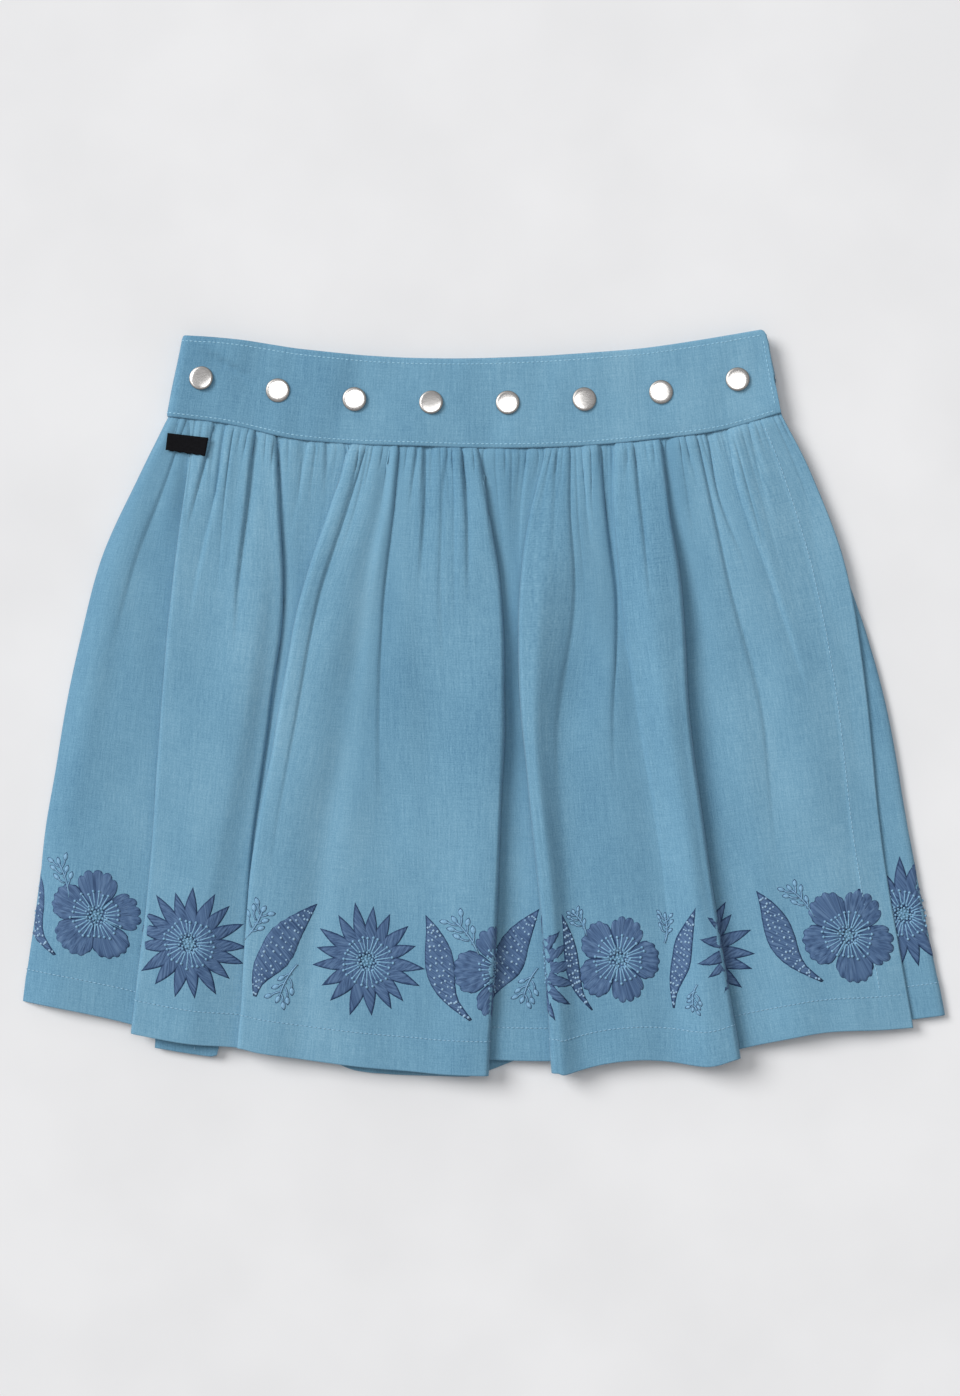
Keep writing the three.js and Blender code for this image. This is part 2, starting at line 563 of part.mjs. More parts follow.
// A hole under every cap, through the front stretch and the hidden one but not the back.
function piercedBand() {
  const low = BAND_BACK_Z + BAND_WALL / 2 + SEAM_GAP;
  const high = BAND_FRONT_Z + BAND_WALL;
  let band = toSolid(bandGeometry());
  for (const share of snapShares) {
    const { x, y } = bandPoint(share, 0.5);
    const punch = new THREE.CylinderGeometry(HOLE_RADIUS, HOLE_RADIUS, high - low, ROUND_SEGMENTS);
    punch.rotateX(Math.PI / 2);
    punch.translate(x, y, (low + high) / 2);
    band = band.subtract(toSolid(punch));
  }
  return fromSolid(band);
}

// ---- The skirt ----

const denim = { color: 0x6a98b5, roughness: 0.92, metalness: 0 };
const bandDenim = { color: 0x75a2bb, roughness: 0.92, metalness: 0 };
const labelCloth = { color: 0x141416, roughness: 0.8, metalness: 0 };
const steel = { color: 0xc9cacc, roughness: 0.3, metalness: 1 };

function piece(name, geometry, look) {
  const mesh = new THREE.Mesh(geometry, new THREE.MeshStandardMaterial(look));
  mesh.name = name;
  return mesh;
}

const skirt = new THREE.Group();
skirt.name = 'denim_wrap_skirt';
skirt.add(
  piece('front_panel', panelGeometry(frontSection), denim),
  piece('under_panel', panelGeometry(underSection), denim),
  piece('back_panel', panelGeometry(backSection), denim),
  piece('waistband', piercedBand(), bandDenim),
  piece('label', labelGeometry(), labelCloth),
);
snapShares.forEach((share, i) => {
  const { x, y } = bandPoint(share, 0.5);
  const cap = piece(`snap_cap_${i + 1}`, capGeometry(), steel);
  const stud = piece(`snap_stud_${i + 1}`, studGeometry(), steel);
  cap.position.set(x, y, 0);
  stud.position.set(x, y, 0);
  skirt.add(cap, stud);
});

export default skirt;
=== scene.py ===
# %% [markdown]
# # A denim wrap skirt, fastened and lying flat
#
# The real skirt is one long panel of light denim, gathered onto a waistband that closes with eight
# press studs. The panel is wound once and a half, so three stretches of it lie on each other: the
# front flap, the under lap and the back. The CAD model holds each stretch as a wall of cloth with
# its largest folds. Here every stretch becomes a fine sheet on the same folds, with the gathers,
# creases, hems, stitches and embroidery that a plain wall can't carry.
#
# Sizes are in millimetres, as a tailor would measure them, and are turned into metres when a mesh
# is filled. X runs to the right across the front, Y from the hem to the waistband, Z upwards.

# %% Load the frame
import math

import bmesh
import bpy
import numpy as np
from mathutils import Matrix, Vector
from mathutils.bvhtree import BVHTree


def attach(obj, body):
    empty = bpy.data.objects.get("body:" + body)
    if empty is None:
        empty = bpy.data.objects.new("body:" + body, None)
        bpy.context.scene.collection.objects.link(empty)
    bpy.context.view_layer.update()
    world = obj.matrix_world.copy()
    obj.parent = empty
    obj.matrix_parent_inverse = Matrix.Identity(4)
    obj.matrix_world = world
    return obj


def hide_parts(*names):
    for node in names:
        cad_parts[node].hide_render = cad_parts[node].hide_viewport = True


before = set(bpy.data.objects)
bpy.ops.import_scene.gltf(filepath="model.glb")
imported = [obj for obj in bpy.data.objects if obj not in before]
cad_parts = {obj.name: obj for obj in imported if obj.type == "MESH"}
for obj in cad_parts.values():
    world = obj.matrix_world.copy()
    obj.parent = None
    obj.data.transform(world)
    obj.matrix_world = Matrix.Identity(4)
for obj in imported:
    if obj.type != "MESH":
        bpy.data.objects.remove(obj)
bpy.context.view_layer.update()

MM = 0.001

# %% [markdown]
# ## Camera, floor and light
#
# The skirt is seen from straight above. A perspective camera with a long lens keeps the raised
# folds from leaning outwards, as a copy stand in a studio does. The main light comes evenly from a
# big window at the upper left. A sun lamp with a wide angle stands for it, because an area lamp
# that close would fall off across the skirt. A soft box overhead gives the studs something to
# mirror, and a pale world fills the shade, so the folds show without hard shadows.

# %% Camera
FRAME_HEIGHT = 872.5  # what the long side of the view covers on the ground
FRAME_CENTRE = (-2.2, 3.75)
LENS = 85
SENSOR = 36
CLOTH_TOP = 9  # height of the middle of the front, which the scale is set for


def link(obj):
    bpy.context.scene.collection.objects.link(obj)
    return obj


camera = link(bpy.data.objects.new("camera", bpy.data.cameras.new("camera")))
camera.data.lens = LENS
camera.data.sensor_width = SENSOR
camera_height = LENS / SENSOR * FRAME_HEIGHT + CLOTH_TOP
camera.location = (FRAME_CENTRE[0] * MM, FRAME_CENTRE[1] * MM, camera_height * MM)
bpy.context.scene.camera = camera
print("camera", round(camera_height), "mm above the ground")


# %% Floor and light
BOX_PLACE, BOX_SIZE, BOX_POWER = (-0.1, 0.5, 2.4), (1.1, 0.8), 8
WINDOW_DIRECTION, WINDOW_ANGLE, WINDOW_POWER = (0.62, -0.38, -0.62), 30, 2.42
WORLD_COLOUR, WORLD_POWER = (0.9, 0.9, 0.91, 1), 0.44
FLOOR_REACH, FLOOR_DEPTH = 4, 0.3 * MM


def lamp(name, kind, power, direction):
    obj = link(bpy.data.objects.new(name, bpy.data.lights.new(name, kind)))
    obj.data.energy = power
    obj.rotation_euler = Vector(direction).to_track_quat("-Z", "Y").to_euler()
    return obj


box = lamp("overhead_box", "AREA", BOX_POWER, -Vector(BOX_PLACE))
box.location = BOX_PLACE
box.data.shape = "RECTANGLE"
box.data.size, box.data.size_y = BOX_SIZE
window = lamp("window_light", "SUN", WINDOW_POWER, WINDOW_DIRECTION)
window.data.angle = math.radians(WINDOW_ANGLE)

world = bpy.data.worlds.new("studio")
world.use_nodes = True
world.node_tree.nodes["Background"].inputs["Color"].default_value = WORLD_COLOUR
world.node_tree.nodes["Background"].inputs["Strength"].default_value = WORLD_POWER
bpy.context.scene.world = world
bpy.context.scene.view_settings.view_transform = "Standard"

floor_bm = bmesh.new()
bmesh.ops.create_grid(floor_bm, x_segments=1, y_segments=1, size=FLOOR_REACH)
bmesh.ops.translate(floor_bm, verts=floor_bm.verts, vec=(0, 0, -FLOOR_DEPTH))
floor = link(bpy.data.objects.new("floor", bpy.data.meshes.new("floor")))
floor_bm.to_mesh(floor.data)
floor_bm.free()
print("floor, window light and soft box")

# %% [markdown]
# ## The form of the cloth
#
# A gathered skirt that lies flat is a stack of folds that run from the waist seam to the hem. So
# the form is a table: each row is one line of the cloth, a crest or a trough, with its place across
# the skirt and its height at a few stations on the way down. A lap is a row where the cloth
# doubles back under its neighbour, and it stands for eight control points instead of one. A
# B-spline through the points of all rows is the section of the cloth, and the sections from waist
# to hem are its surface. The same table shapes the CAD walls, so the fine sheets lie where they do.

# %% Outline of the skirt
STATIONS = (0, 0.1, 0.25, 0.45, 0.7, 1)  # share of the way from the waist seam to the hem
OUTLINE_LEFT = (-197.2, -215.6, -240.5, -258.8, -274.4, -289)
OUTLINE_RIGHT = (185.9, 204.6, 227.6, 249.4, 266.6, 289)
TENTHS = tuple(i / 10 for i in range(11))
BAND_TOP_Y = (230.5, 227.5, 222, 218.2, 216.2, 216, 217.3, 219.5, 222.8, 228.2, 234.4)
SEAM_Y = (179.4, 174.4, 165.6, 162.2, 160.9, 159.8, 159.8, 161.7, 165.4, 170.6, 181.6)
HEM_Y = (-186.2, -196.2, -210, -219.4, -226.3, -228.8, -228.8, -224.4, -211.9, -202.5, -195)
BAND_TOP_LEFT, BAND_TOP_RIGHT = -187.8, 176.2

BACK_Z, UNDER_Z, FRONT_Z = 0.5, 4.8, 8.5  # rest height of the middle of each layer
TURN_UNDER = 25
SEAM_GAP = 0.3
PANEL_LENGTH = 392  # of cloth from the waist seam to the hem


def curve(places, values, at):
    """Smooth curve through the values at the places, straight beyond its ends."""
    places, values = np.asarray(places, float), np.asarray(values, float)
    slopes = np.empty_like(values)
    slopes[1:-1] = (values[2:] - values[:-2]) / (places[2:] - places[:-2])
    slopes[0] = (values[1] - values[0]) / (places[1] - places[0])
    slopes[-1] = (values[-1] - values[-2]) / (places[-1] - places[-2])
    at = np.clip(at, places[0], places[-1])
    i = np.clip(np.searchsorted(places, at) - 1, 0, len(places) - 2)
    span = places[i + 1] - places[i]
    t = (at - places[i]) / span
    return (
        (2 * t**3 - 3 * t**2 + 1) * values[i]
        + (t**3 - 2 * t**2 + t) * span * slopes[i]
        + (3 * t**2 - 2 * t**3) * values[i + 1]
        + (t**3 - t**2) * span * slopes[i + 1]
    )


# %% Places across and down the skirt
def left_x(down):
    return curve(STATIONS, OUTLINE_LEFT, down)


def right_x(down):
    return curve(STATIONS, OUTLINE_RIGHT, down)


def across_x(at, down):
    """x of a place in thousandths of the width, given at the stations."""
    share = curve(STATIONS, at, down) / 1000
    return left_x(down) + (right_x(down) - left_x(down)) * share


def panel_y(x, down, drop):
    share = np.clip((x - left_x(down)) / (right_x(down) - left_x(down)), 0, 1)
    seam, hem = curve(TENTHS, SEAM_Y, share), curve(TENTHS, HEM_Y, share)
    return seam + (hem - seam) * down - drop * down**2


print("hem width", OUTLINE_RIGHT[-1] - OUTLINE_LEFT[-1], "mm")

# %% Folds of the front flap
# name, at the stations, rise at the rise stations, drop of the hem,
# and for a lap: the side on top, depth at the hem, floor at the rise stations, floor's drop
RISE_STATIONS = (0, 0.2, 0.6, 1)
FRONT_FOLDS = (
    ("left ridge", (7, 8, 22, 24, 30, 34), (1.2, 2.6, 1.6, 0.6), 0),
    ("left lie", (20, 38, 62, 66, 74, 76), (1.4, 0.9, 0.2, 0), 1),
    ("left lap", (43, 72, 102, 115, 125, 120), (1.8, 4, 4.2, 4), 7, "right", 19, (1, 0, 0, 0), 2),
    ("left crest", (125, 140, 168, 181, 183, 180), (1.8, 4.6, 4.6, 4), 5),
    ("shoulder", (172, 200, 236, 230, 222, 214), (1.8, 4.6, 4, 2.4), 2),
    ("crevice", (190, 217, 251, 247, 238, 232), (1, 0.4, 0, 0), 1),
    ("deep lap", (301, 287, 272, 258, 240, 236), (1.8, 7.2, 7.6, 5.4), 1, "right", 40,
     (1, 0, 0, 0), 0),
    ("slant groove", (323, 316, 296, 279, 262, 252), (1, 5.6, 7, 5.6), 2),
    ("slant crest", (345, 342, 324, 305, 283, 268), (1.8, 7, 7, 5.8), 2),
    ("soft trough", (362, 360, 352, 337, 319, 299), (1.2, 4.6, 4.6, 4), 2),
    ("low crest", (370, 370, 368, 360, 358, 350), (1.6, 5.4, 5.2, 4.8), 2),
    ("middle trough", (376, 377, 383, 381, 396, 397), (0.8, 3.6, 4, 3.8), 2),
    ("broad crest", (402, 402, 407, 420, 430, 430), (1.8, 5.4, 5.4, 5), 2),
    ("broad trough", (420, 424, 428, 438, 446, 446), (1.2, 4.4, 4.8, 4.6), 3),
    ("left wall", (462, 466, 470, 474, 478, 474), (1.8, 6, 6.2, 5.8), 3),
    ("centre lap", (504, 520, 537, 533, 523, 504), (1.8, 6, 6.4, 6), 3, "left", 20,
     (1, 0, 0, 0), -7),
    ("valley", (545, 546, 549, 546, 547, 540), (1.2, 0.8, 0.4, 0.2), -6),
    ("edge lap", (623, 584, 562, 558, 572, 576), (1.8, 7, 7.4, 6.4), 1, "right", 31,
     (1, 0, 0, 0), -6),
    ("narrow crest", (641, 617, 598, 573, 585, 585), (2, 8.6, 8.6, 7.4), 3),
    ("crest foot", (656, 644, 634, 594, 600, 603), (1.2, 5.4, 5.2, 5), 0),
    ("middle lie", (670, 660, 657, 630, 628, 634), (1.4, 4, 4, 4), -4),
    ("small crest", (699, 684, 678, 668, 678, 672), (1.8, 4.6, 4.4, 4.4), -5),
    ("ridge foot", (725, 705, 697, 697, 716, 711), (0.8, 2.4, 2.6, 3), 0),
    ("great ridge", (763, 747, 735, 733, 748, 744), (2.2, 10.6, 11.4, 9.6), 8),
    ("ridge lap", (802, 788, 777, 761, 768, 775), (1.8, 7.6, 8.2, 8.2), 6, "left", 17,
     (1, 0.6, 0.4, 0.4), 1),
    ("right valley", (824, 807, 797, 781, 788, 815), (1.2, 1.2, 0.8, 0.6), 1),
    ("right crest", (848, 834, 820, 815, 830, 845), (1.8, 4, 3.8, 3.2), 0),
    ("right trough", (872, 866, 866, 862, 856, 872), (1.2, 2.2, 2.2, 1.8), 0),
    ("flap crest", (905, 890, 885, 890, 895, 905), (1.8, 3.4, 3, 2.2), 2),
    ("flap lie", (962, 952, 942, 932, 926, 926), (1.4, 0.4, 0, -0.4), 4),
    ("flap edge", (1000, 1001, 997, 980, 968, 965), (0.8, -2, -2.2, -2.2), 5),
)
LEFT_FOLD_Z = (6.5, 4.5, 3.2, 2.8)
print("front folds:", len(FRONT_FOLDS))

# %% Folds of the under lap and the back
UNDER_FOLDS = (
    ("free edge", (40, 63, 104, 126, 139, 144), (-0.4, 0, 0, 0), 13),
    ("tuck", (88, 103, 138, 168, 197, 208), (0, 1.2, 1.4, 0.8), 10),
    ("tuck side", (90, 105, 140, 170, 199, 212), (0, 1.2, 1.4, 0.8), 10),
    ("tuck edge", (93, 108, 143, 173, 202, 215), (-0.4, 0, 0, 0), -4),
    ("tuck foot", (97, 112, 147, 177, 206, 219), (-0.4, 0, 0, 0), -4),
    ("inner crest", (250, 260, 290, 300, 310, 320), (0, 1.8, 1.6, 1.4), -4),
    ("inner trough", (380, 380, 380, 380, 385, 390), (-0.4, 0, 0, 0), -4),
    ("second crest", (460, 465, 470, 470, 465, 460), (0, 1.8, 1.8, 1.4), -5),
    ("second trough", (560, 555, 550, 550, 555, 560), (-0.4, 0, 0, 0), -11),
    ("third crest", (660, 650, 640, 640, 650, 660), (0, 1.6, 1.6, 1.6), -9),
    ("third trough", (760, 750, 745, 745, 750, 755), (-0.4, 0, 0, 0), -4),
    ("fourth crest", (850, 840, 830, 830, 835, 840), (0, 1.2, 1.2, 1), -2),
    ("right lie", (920, 910, 905, 905, 905, 905), (-0.4, 0, 0, 0), 0),
)
RIGHT_FOLD_AT = (984, 990, 994, 1000, 1000, 1000)
BACK_FOLD_REACH = 7
BACK_FOLDS = (
    ((110, 118, 126, 132, 134, 136), (0.4, 2.2, 1.8, 1.2), -3),
    ((200, 205, 214, 222, 230, 236), (0.4, 2.6, 2.4, 1.6), -3),
    ((300, 300, 302, 304, 305, 300), (0.4, 2.4, 1.4, 0.8), -1),
    ((395, 393, 390, 388, 384, 380), (0.4, 2.6, 2.6, 2.2), 6),
    ((480, 481, 478, 474, 470, 466), (0.4, 2.2, 1.6, 0.8), 5.3),
    ((565, 563, 560, 562, 566, 570), (0.4, 2.6, 2.4, 1.8), -9),
    ((650, 652, 656, 662, 670, 676), (0.4, 2.2, 1.4, 1), -8),
    ((750, 748, 746, 745, 745, 748), (0.4, 2.6, 2.4, 2), -5),
    ((845, 842, 838, 836, 836, 838), (0.4, 2.2, 1.8, 1), -3),
)
print("under lap folds:", len(UNDER_FOLDS), "back folds:", len(BACK_FOLDS))

# %% [markdown]
# ## Laps and sections
#
# On the real skirt a lap is cloth that doubles back twice, so three layers lie on each other and
# their edge turns in a tight round. A plain dent in a grid could never hide cloth under cloth, so
# the section itself runs back and forth. Near the seam a lap closes to a mere step, as gathers do.
# Each control point has x, z, the hem's drop there and how much of the cloth shows.

# %% The points of a lap
LAP_AT_SEAM, LAP_OPENING = -5, 0.6
LAYER_PITCH, LAYER_PITCH_AT_SEAM, LAYERS_OPEN = 1.9, 0.5, 0.06
TURN_RUN, TURN_REACH = 4, 0.6


def mix(a, b, share):
    return a + (b - a) * share


def lap_points(fold, down, rest):
    """The eight control points of a lap, from its lowest layer to its top one."""
    at, rise, drop, over, depth, floor_rise, floor_drop = fold[1:]
    depth = mix(LAP_AT_SEAM, depth, down**LAP_OPENING)
    pitch = mix(LAYER_PITCH_AT_SEAM, LAYER_PITCH, min(down / LAYERS_OPEN, 1))
    edge = across_x(at, down)
    low = rest + curve(RISE_STATIONS, floor_rise, down)
    high = rest + curve(RISE_STATIONS, rise, down)
    folded = min(max((depth + 2) / 6, 0), 1)  # a lap opens into a step where it is this shallow
    run, reach = TURN_RUN * folded, TURN_REACH * folded
    inside = (1, 1, 1, 1, 0, 0, 0, 0)
    runs = (-run, reach, reach, -run, run, -reach, -reach, run)
    heights = (low, low, low + pitch, low + pitch, low + pitch, low + pitch, high, high)
    shown = (0, 0, 0, 0, 0, 0, 0.6, 1)
    inward = 1 if over == "right" else -1
    points = []
    for i in range(8):
        step = max(1 - 0.2 * max(i - 1, 0), 0)
        across = depth * mix(step, inside[i], folded) + runs[i]
        z = mix(mix(low, high, i / 7), heights[i], folded)
        drops = floor_drop if i < 4 else drop
        points.append((edge + inward * across, z, drops, mix(1, shown[i], folded)))
    return points if over == "right" else points[::-1]


middle_lap = lap_points(FRONT_FOLDS[6], 0.5, 0)
print("a lap's points across, mm:", [round(float(point[0])) for point in middle_lap])


# %% The sections of the three stretches
def fold_points(folds, down, rest):
    points = []
    for fold in folds:
        if len(fold) > 4:
            points += lap_points(fold, down, rest)
        else:
            z = rest + curve(RISE_STATIONS, fold[2], down)
            points.append((across_x(fold[1], down), z, fold[3], 1))
    return points


def front_section(down):
    left, fold_z = left_x(down), curve(RISE_STATIONS, LEFT_FOLD_Z, down)
    turn = [(TURN_UNDER, BACK_Z, -2), (TURN_UNDER / 2, BACK_Z, -1), (3, BACK_Z, 0)]
    turn += [(0.1, BACK_Z, 0), (0.1, fold_z, 0)]
    points = [(left + across, z, drop, 0) for across, z, drop in turn]
    return points + fold_points(FRONT_FOLDS, down, FRONT_Z)


def under_section(down):
    right = across_x(RIGHT_FOLD_AT, down)
    turn = [(-8, UNDER_Z, 0), (0.2, UNDER_Z, 0), (0.2, BACK_Z, 0), (-4, BACK_Z, 0)]
    turn += [(-TURN_UNDER / 2, BACK_Z, -1), (-TURN_UNDER, BACK_Z, -2)]
    points = fold_points(UNDER_FOLDS, down, UNDER_Z)
    return points + [(right + across, z, drop, 0) for across, z, drop in turn]


def back_section(down):
    points = [(left_x(down) + TURN_UNDER + SEAM_GAP, BACK_Z, -2, 0)]
    for at, rise, drop in BACK_FOLDS:
        x, z = across_x(at, down), BACK_Z + curve(RISE_STATIONS, rise, down)
        for step in (-2, -1, 0, 1, 2):
            points.append((x + step * BACK_FOLD_REACH, z if step == 0 else BACK_Z, drop, 0))
    points.append((across_x(RIGHT_FOLD_AT, down) - TURN_UNDER - SEAM_GAP, BACK_Z, -2, 0))
    return points


print("front control points:", len(front_section(0.5)))

# %% [markdown]
# ## From sections to a sheet
#
# A sheet is a grid whose columns are the threads from waist to hem. The columns are spread evenly
# along the cloth, so tight turns get as many as they need. The sheet also remembers its fabric
# coordinates, across the cloth and up from the hem, because the weave, the stitches and the
# embroidery belong to the fabric and go round its folds with it.

# %% A sheet and its fabric coordinates
EMBROIDERY_ROW = 0.84  # share of the way down where the cloth across is measured
SPREAD_ROWS = (0, 0.1, 0.4, 1)  # rows whose lengths share out the columns
TUCKED = -0.006  # the sheet begins this share above the seam, under the band


def arc_lengths(points):
    steps = np.linalg.norm(np.diff(points, axis=-2), axis=-1)
    return np.concatenate([np.zeros(steps.shape[:-1] + (1,)), np.cumsum(steps, -1)], -1)


class Cloth:
    """A sheet as a grid of points, with its normals and its fabric coordinates in millimetres."""

    def __init__(self, points, across, up, outer=1):
        self.points, self.across, self.up, self.outer = points, across, up, outer
        self.update()

    def update(self):
        normal = np.cross(np.gradient(self.points, axis=0), np.gradient(self.points, axis=1))
        self.normals = normal / np.maximum(np.linalg.norm(normal, axis=-1, keepdims=True), 1e-9)

    def push(self, distance):
        self.points = self.points + self.normals * distance[..., None]
        self.update()

    def place(self, across, up, lift=0.0):
        """Point on the outer side at fabric coordinates, lifted off it, and the normal there."""
        across = across if self.outer > 0 else self.across[-1] - across
        column = np.interp(across, self.across, np.arange(len(self.across)))
        row = np.interp(-np.asarray(up), -self.up, np.arange(len(self.up)))
        c = np.clip(column.astype(int), 0, len(self.across) - 2)
        r = np.clip(row.astype(int), 0, len(self.up) - 2)
        s, t = (column - c)[..., None], (row - r)[..., None]

        def blend(grid):
            upper = mix(grid[r, c], grid[r, c + 1], s)
            return mix(upper, mix(grid[r + 1, c], grid[r + 1, c + 1], s), t)

        normal = blend(self.normals) * self.outer
        normal = normal / np.linalg.norm(normal, axis=-1, keepdims=True)
        return blend(self.points) + normal * np.asarray(lift)[..., None], normal


# %% A spline through the control points
def spline_weights(places, count):
    """Weights of the control points at places on a uniform cubic B-spline with held ends."""
    weights = np.zeros((len(places), count + 2))
    i = np.clip(np.floor(places).astype(int), 0, count - 2)
    t = places - i
    blend = ((1 - t) ** 3, 3 * t**3 - 6 * t**2 + 4, -3 * t**3 + 3 * t**2 + 3 * t + 1, t**3)
    for k in range(4):
        weights[np.arange(len(places)), i + k] += blend[k] / 6
    held = weights[:, 1:-1].copy()
    held[:, 0] += 2 * weights[:, 0]
    held[:, 1] -= weights[:, 0]
    held[:, -1] += 2 * weights[:, -1]
    held[:, -2] -= weights[:, -1]
    return held


print("weights at a control point:", spline_weights(np.array([2.0]), 5).round(2).tolist()[0])


# %% Lay out the three sheets
def panel_cloth(section, rows, columns, outer=1, warp=1.2):
    count = len(section(0.5))
    fine = np.linspace(0, count - 1, 3000)
    fine_weights = spline_weights(fine, count)
    share = 0
    for down in SPREAD_ROWS:
        length = arc_lengths(fine_weights @ np.array([p[:2] for p in section(down)]))
        share = share + length / length[-1] / len(SPREAD_ROWS)
    places = np.interp(np.linspace(0, 1, columns), share, fine)
    weights = spline_weights(places, count)
    down = mix(TUCKED, 1, np.linspace(0, 1, rows) ** warp)
    down = np.append(down[:-1], (0.998, 1))  # the narrow last row keeps the hem's edge crisp
    values = np.array([weights @ np.array(section(max(d, 0))) for d in down])
    x, z, drop, shown = np.moveaxis(values, -1, 0)
    y = np.array([panel_y(x[r], d, drop[r]) for r, d in enumerate(down)])
    across = arc_lengths(weights @ np.array([p[:2] for p in section(EMBROIDERY_ROW)]))
    cloth = Cloth(np.stack([x, y, z], -1), across, (1 - down) * PANEL_LENGTH, outer)
    cloth.down, cloth.shown = down, np.clip(shown, 0, 1)
    return cloth


front = panel_cloth(front_section, rows=66, columns=670, warp=1.35)
under = panel_cloth(under_section, rows=72, columns=230)
back = panel_cloth(back_section, rows=80, columns=270, outer=-1)
print("cloth across:", [round(cloth.across[-1]) for cloth in (front, under, back)], "mm")

# %% [markdown]
# ## Gathers and creases
#
# Under the waistband the cloth is drawn together on a thread, which pushes it up into dozens of
# little round puffs with sharp grooves between them. Most grooves fade within a few centimetres,
# and a few run on as creases. They could be painted as bump, but then their edge against the band
# would stay straight, so they are real troughs pushed into the sheet, uneven in length and depth.
# A groove also has a high side and a low side, because gathered cloth leans over.

# %% Shape of a groove
def bell(distance, width):
    return np.exp(-((distance / width) ** 2))


def groove(distance, width, side):
    """A sharp valley with one side higher than the other, which dies away after six widths."""
    lean = np.tanh(distance / (0.7 * width)) * bell(distance, 6 * width)
    return -np.exp(-np.abs(distance) / width) - side * lean


def fade(down, start, end, ease=0.03):
    """One between the start and the end, and smooth at both."""
    rise = np.clip((down - start) / ease, 0, 1)
    fall = np.clip((end - down) / max(end - start - ease, 1e-3), 0, 1)
    return rise * rise * (3 - 2 * rise) * fall * (2 - fall)


def gather(cloth, count, seed, reaches, depth):
    """Short grooves from the seam on, each following the threads of the cloth."""
    random = np.random.default_rng(seed)
    arc = arc_lengths(cloth.points)
    seam = arc[0] / arc[0, -1]
    push = np.zeros(arc.shape)
    for k in range(count):
        place = (k + 0.5 + random.uniform(-0.35, 0.35)) / count
        column = min(np.searchsorted(seam, place), arc.shape[1] - 1)
        reach = random.choice(reaches, p=(0.5, 0.35, 0.15)) * random.uniform(0.7, 1.3)
        strength = depth * random.uniform(0.6, 1.2)
        side = random.uniform(-0.3, 0.5)
        distance = arc - arc[:, column : column + 1]
        width = (0.6 + 3 * np.clip(cloth.down, 0, 1))[:, None]
        push += strength * fade(cloth.down, -0.02, reach)[:, None] * groove(distance, width, side)
    cloth.push(push * np.maximum(cloth.shown, 0.4))


# %% [markdown]
# ## Swells and creases
#
# Between the laps the cloth rolls up broadly on one side and lies flat on the other, and single
# creases run down from the gathers. A cloth simulation would throw folds of its own where it likes.
# These have known places, so each is a row of a table, and a formula gives it a natural profile.

# %% Broad swells beside the laps
# place of the top at the stations, start and end down the panel, height, reach to the left and to
# the right, and for a swell that ends at a lap: the lap's name and the side of it that swells
FOLD_AT = {name: at for name, at, *_ in FRONT_FOLDS}
SWELLS = (
    ((184, 199, 214, 213, 195, 178), 0.12, 1.2, 3.2, 20, 9.5, "deep lap", "left"),
    ((362, 360, 352, 337, 319, 299), 0.35, 1.2, -1.3, 9, 8),
    ((376, 377, 380, 381, 392, 397), 0.1, 1.2, -1.1, 16, 14),
    ((490, 505, 522, 522, 514, 498), 0.2, 1.2, 3.4, 22, 90, "centre lap", "left"),
    ((545, 546, 549, 546, 547, 540), 0.2, 1.2, -1.2, 9, 9),
    ((641, 612, 586, 569, 582, 584), 0.12, 1.2, 3, 90, 7.5, "edge lap", "right"),
    ((660, 652, 634, 610, 606, 610), 0.12, 1.2, -3, 9, 20, "edge lap", "right"),
    ((763, 749, 736, 738, 750, 746), 0.12, 1.2, 3, 10, 90, "ridge lap", "left"),
    ((728, 710, 702, 708, 718, 706), 0.15, 1.2, -2, 14, 7),
    ((824, 807, 797, 790, 798, 815), 0.15, 1.2, -1, 12, 14, "ridge lap", "right"),
    ((861, 850, 842, 850, 845, 845), 0.1, 1, -1.1, 9, 9),
    ((30, 42, 52, 50, 42, 36), 0.02, 0.9, -1, 9, 9),
)


def right_of(cloth, at):
    """How far each point lies to the right of a line down the skirt; a short row ends straight."""
    at = at + (at[-1],) * (len(STATIONS) - len(at))
    return cloth.points[..., 0] - across_x(at, np.clip(cloth.down, 0, 1))[:, None]


def beside(cloth, lap, side):
    """One on the part of the sheet that lies on that side of a lap, and zero elsewhere."""
    distance = right_of(cloth, FOLD_AT[lap])
    if side == "left":
        return np.cumsum(distance > 0, axis=1) == 0
    return np.cumsum((distance < 0)[:, ::-1], axis=1)[:, ::-1] == 0


def swell(cloth, swells):
    """Raises or lowers the sheet, by a smooth hill that may be steeper on one side."""
    lift = np.zeros(cloth.shown.shape)
    for at, start, end, height, left, right, *lap in swells:
        distance = right_of(cloth, at)
        hill = bell(distance, np.where(distance < 0, left, right))
        where = beside(cloth, *lap) if lap else cloth.shown
        lift += height * fade(cloth.down, start, end, 0.2)[:, None] * hill * where
    cloth.points[..., 2] += lift
    cloth.update()


print("swells:", len(SWELLS))

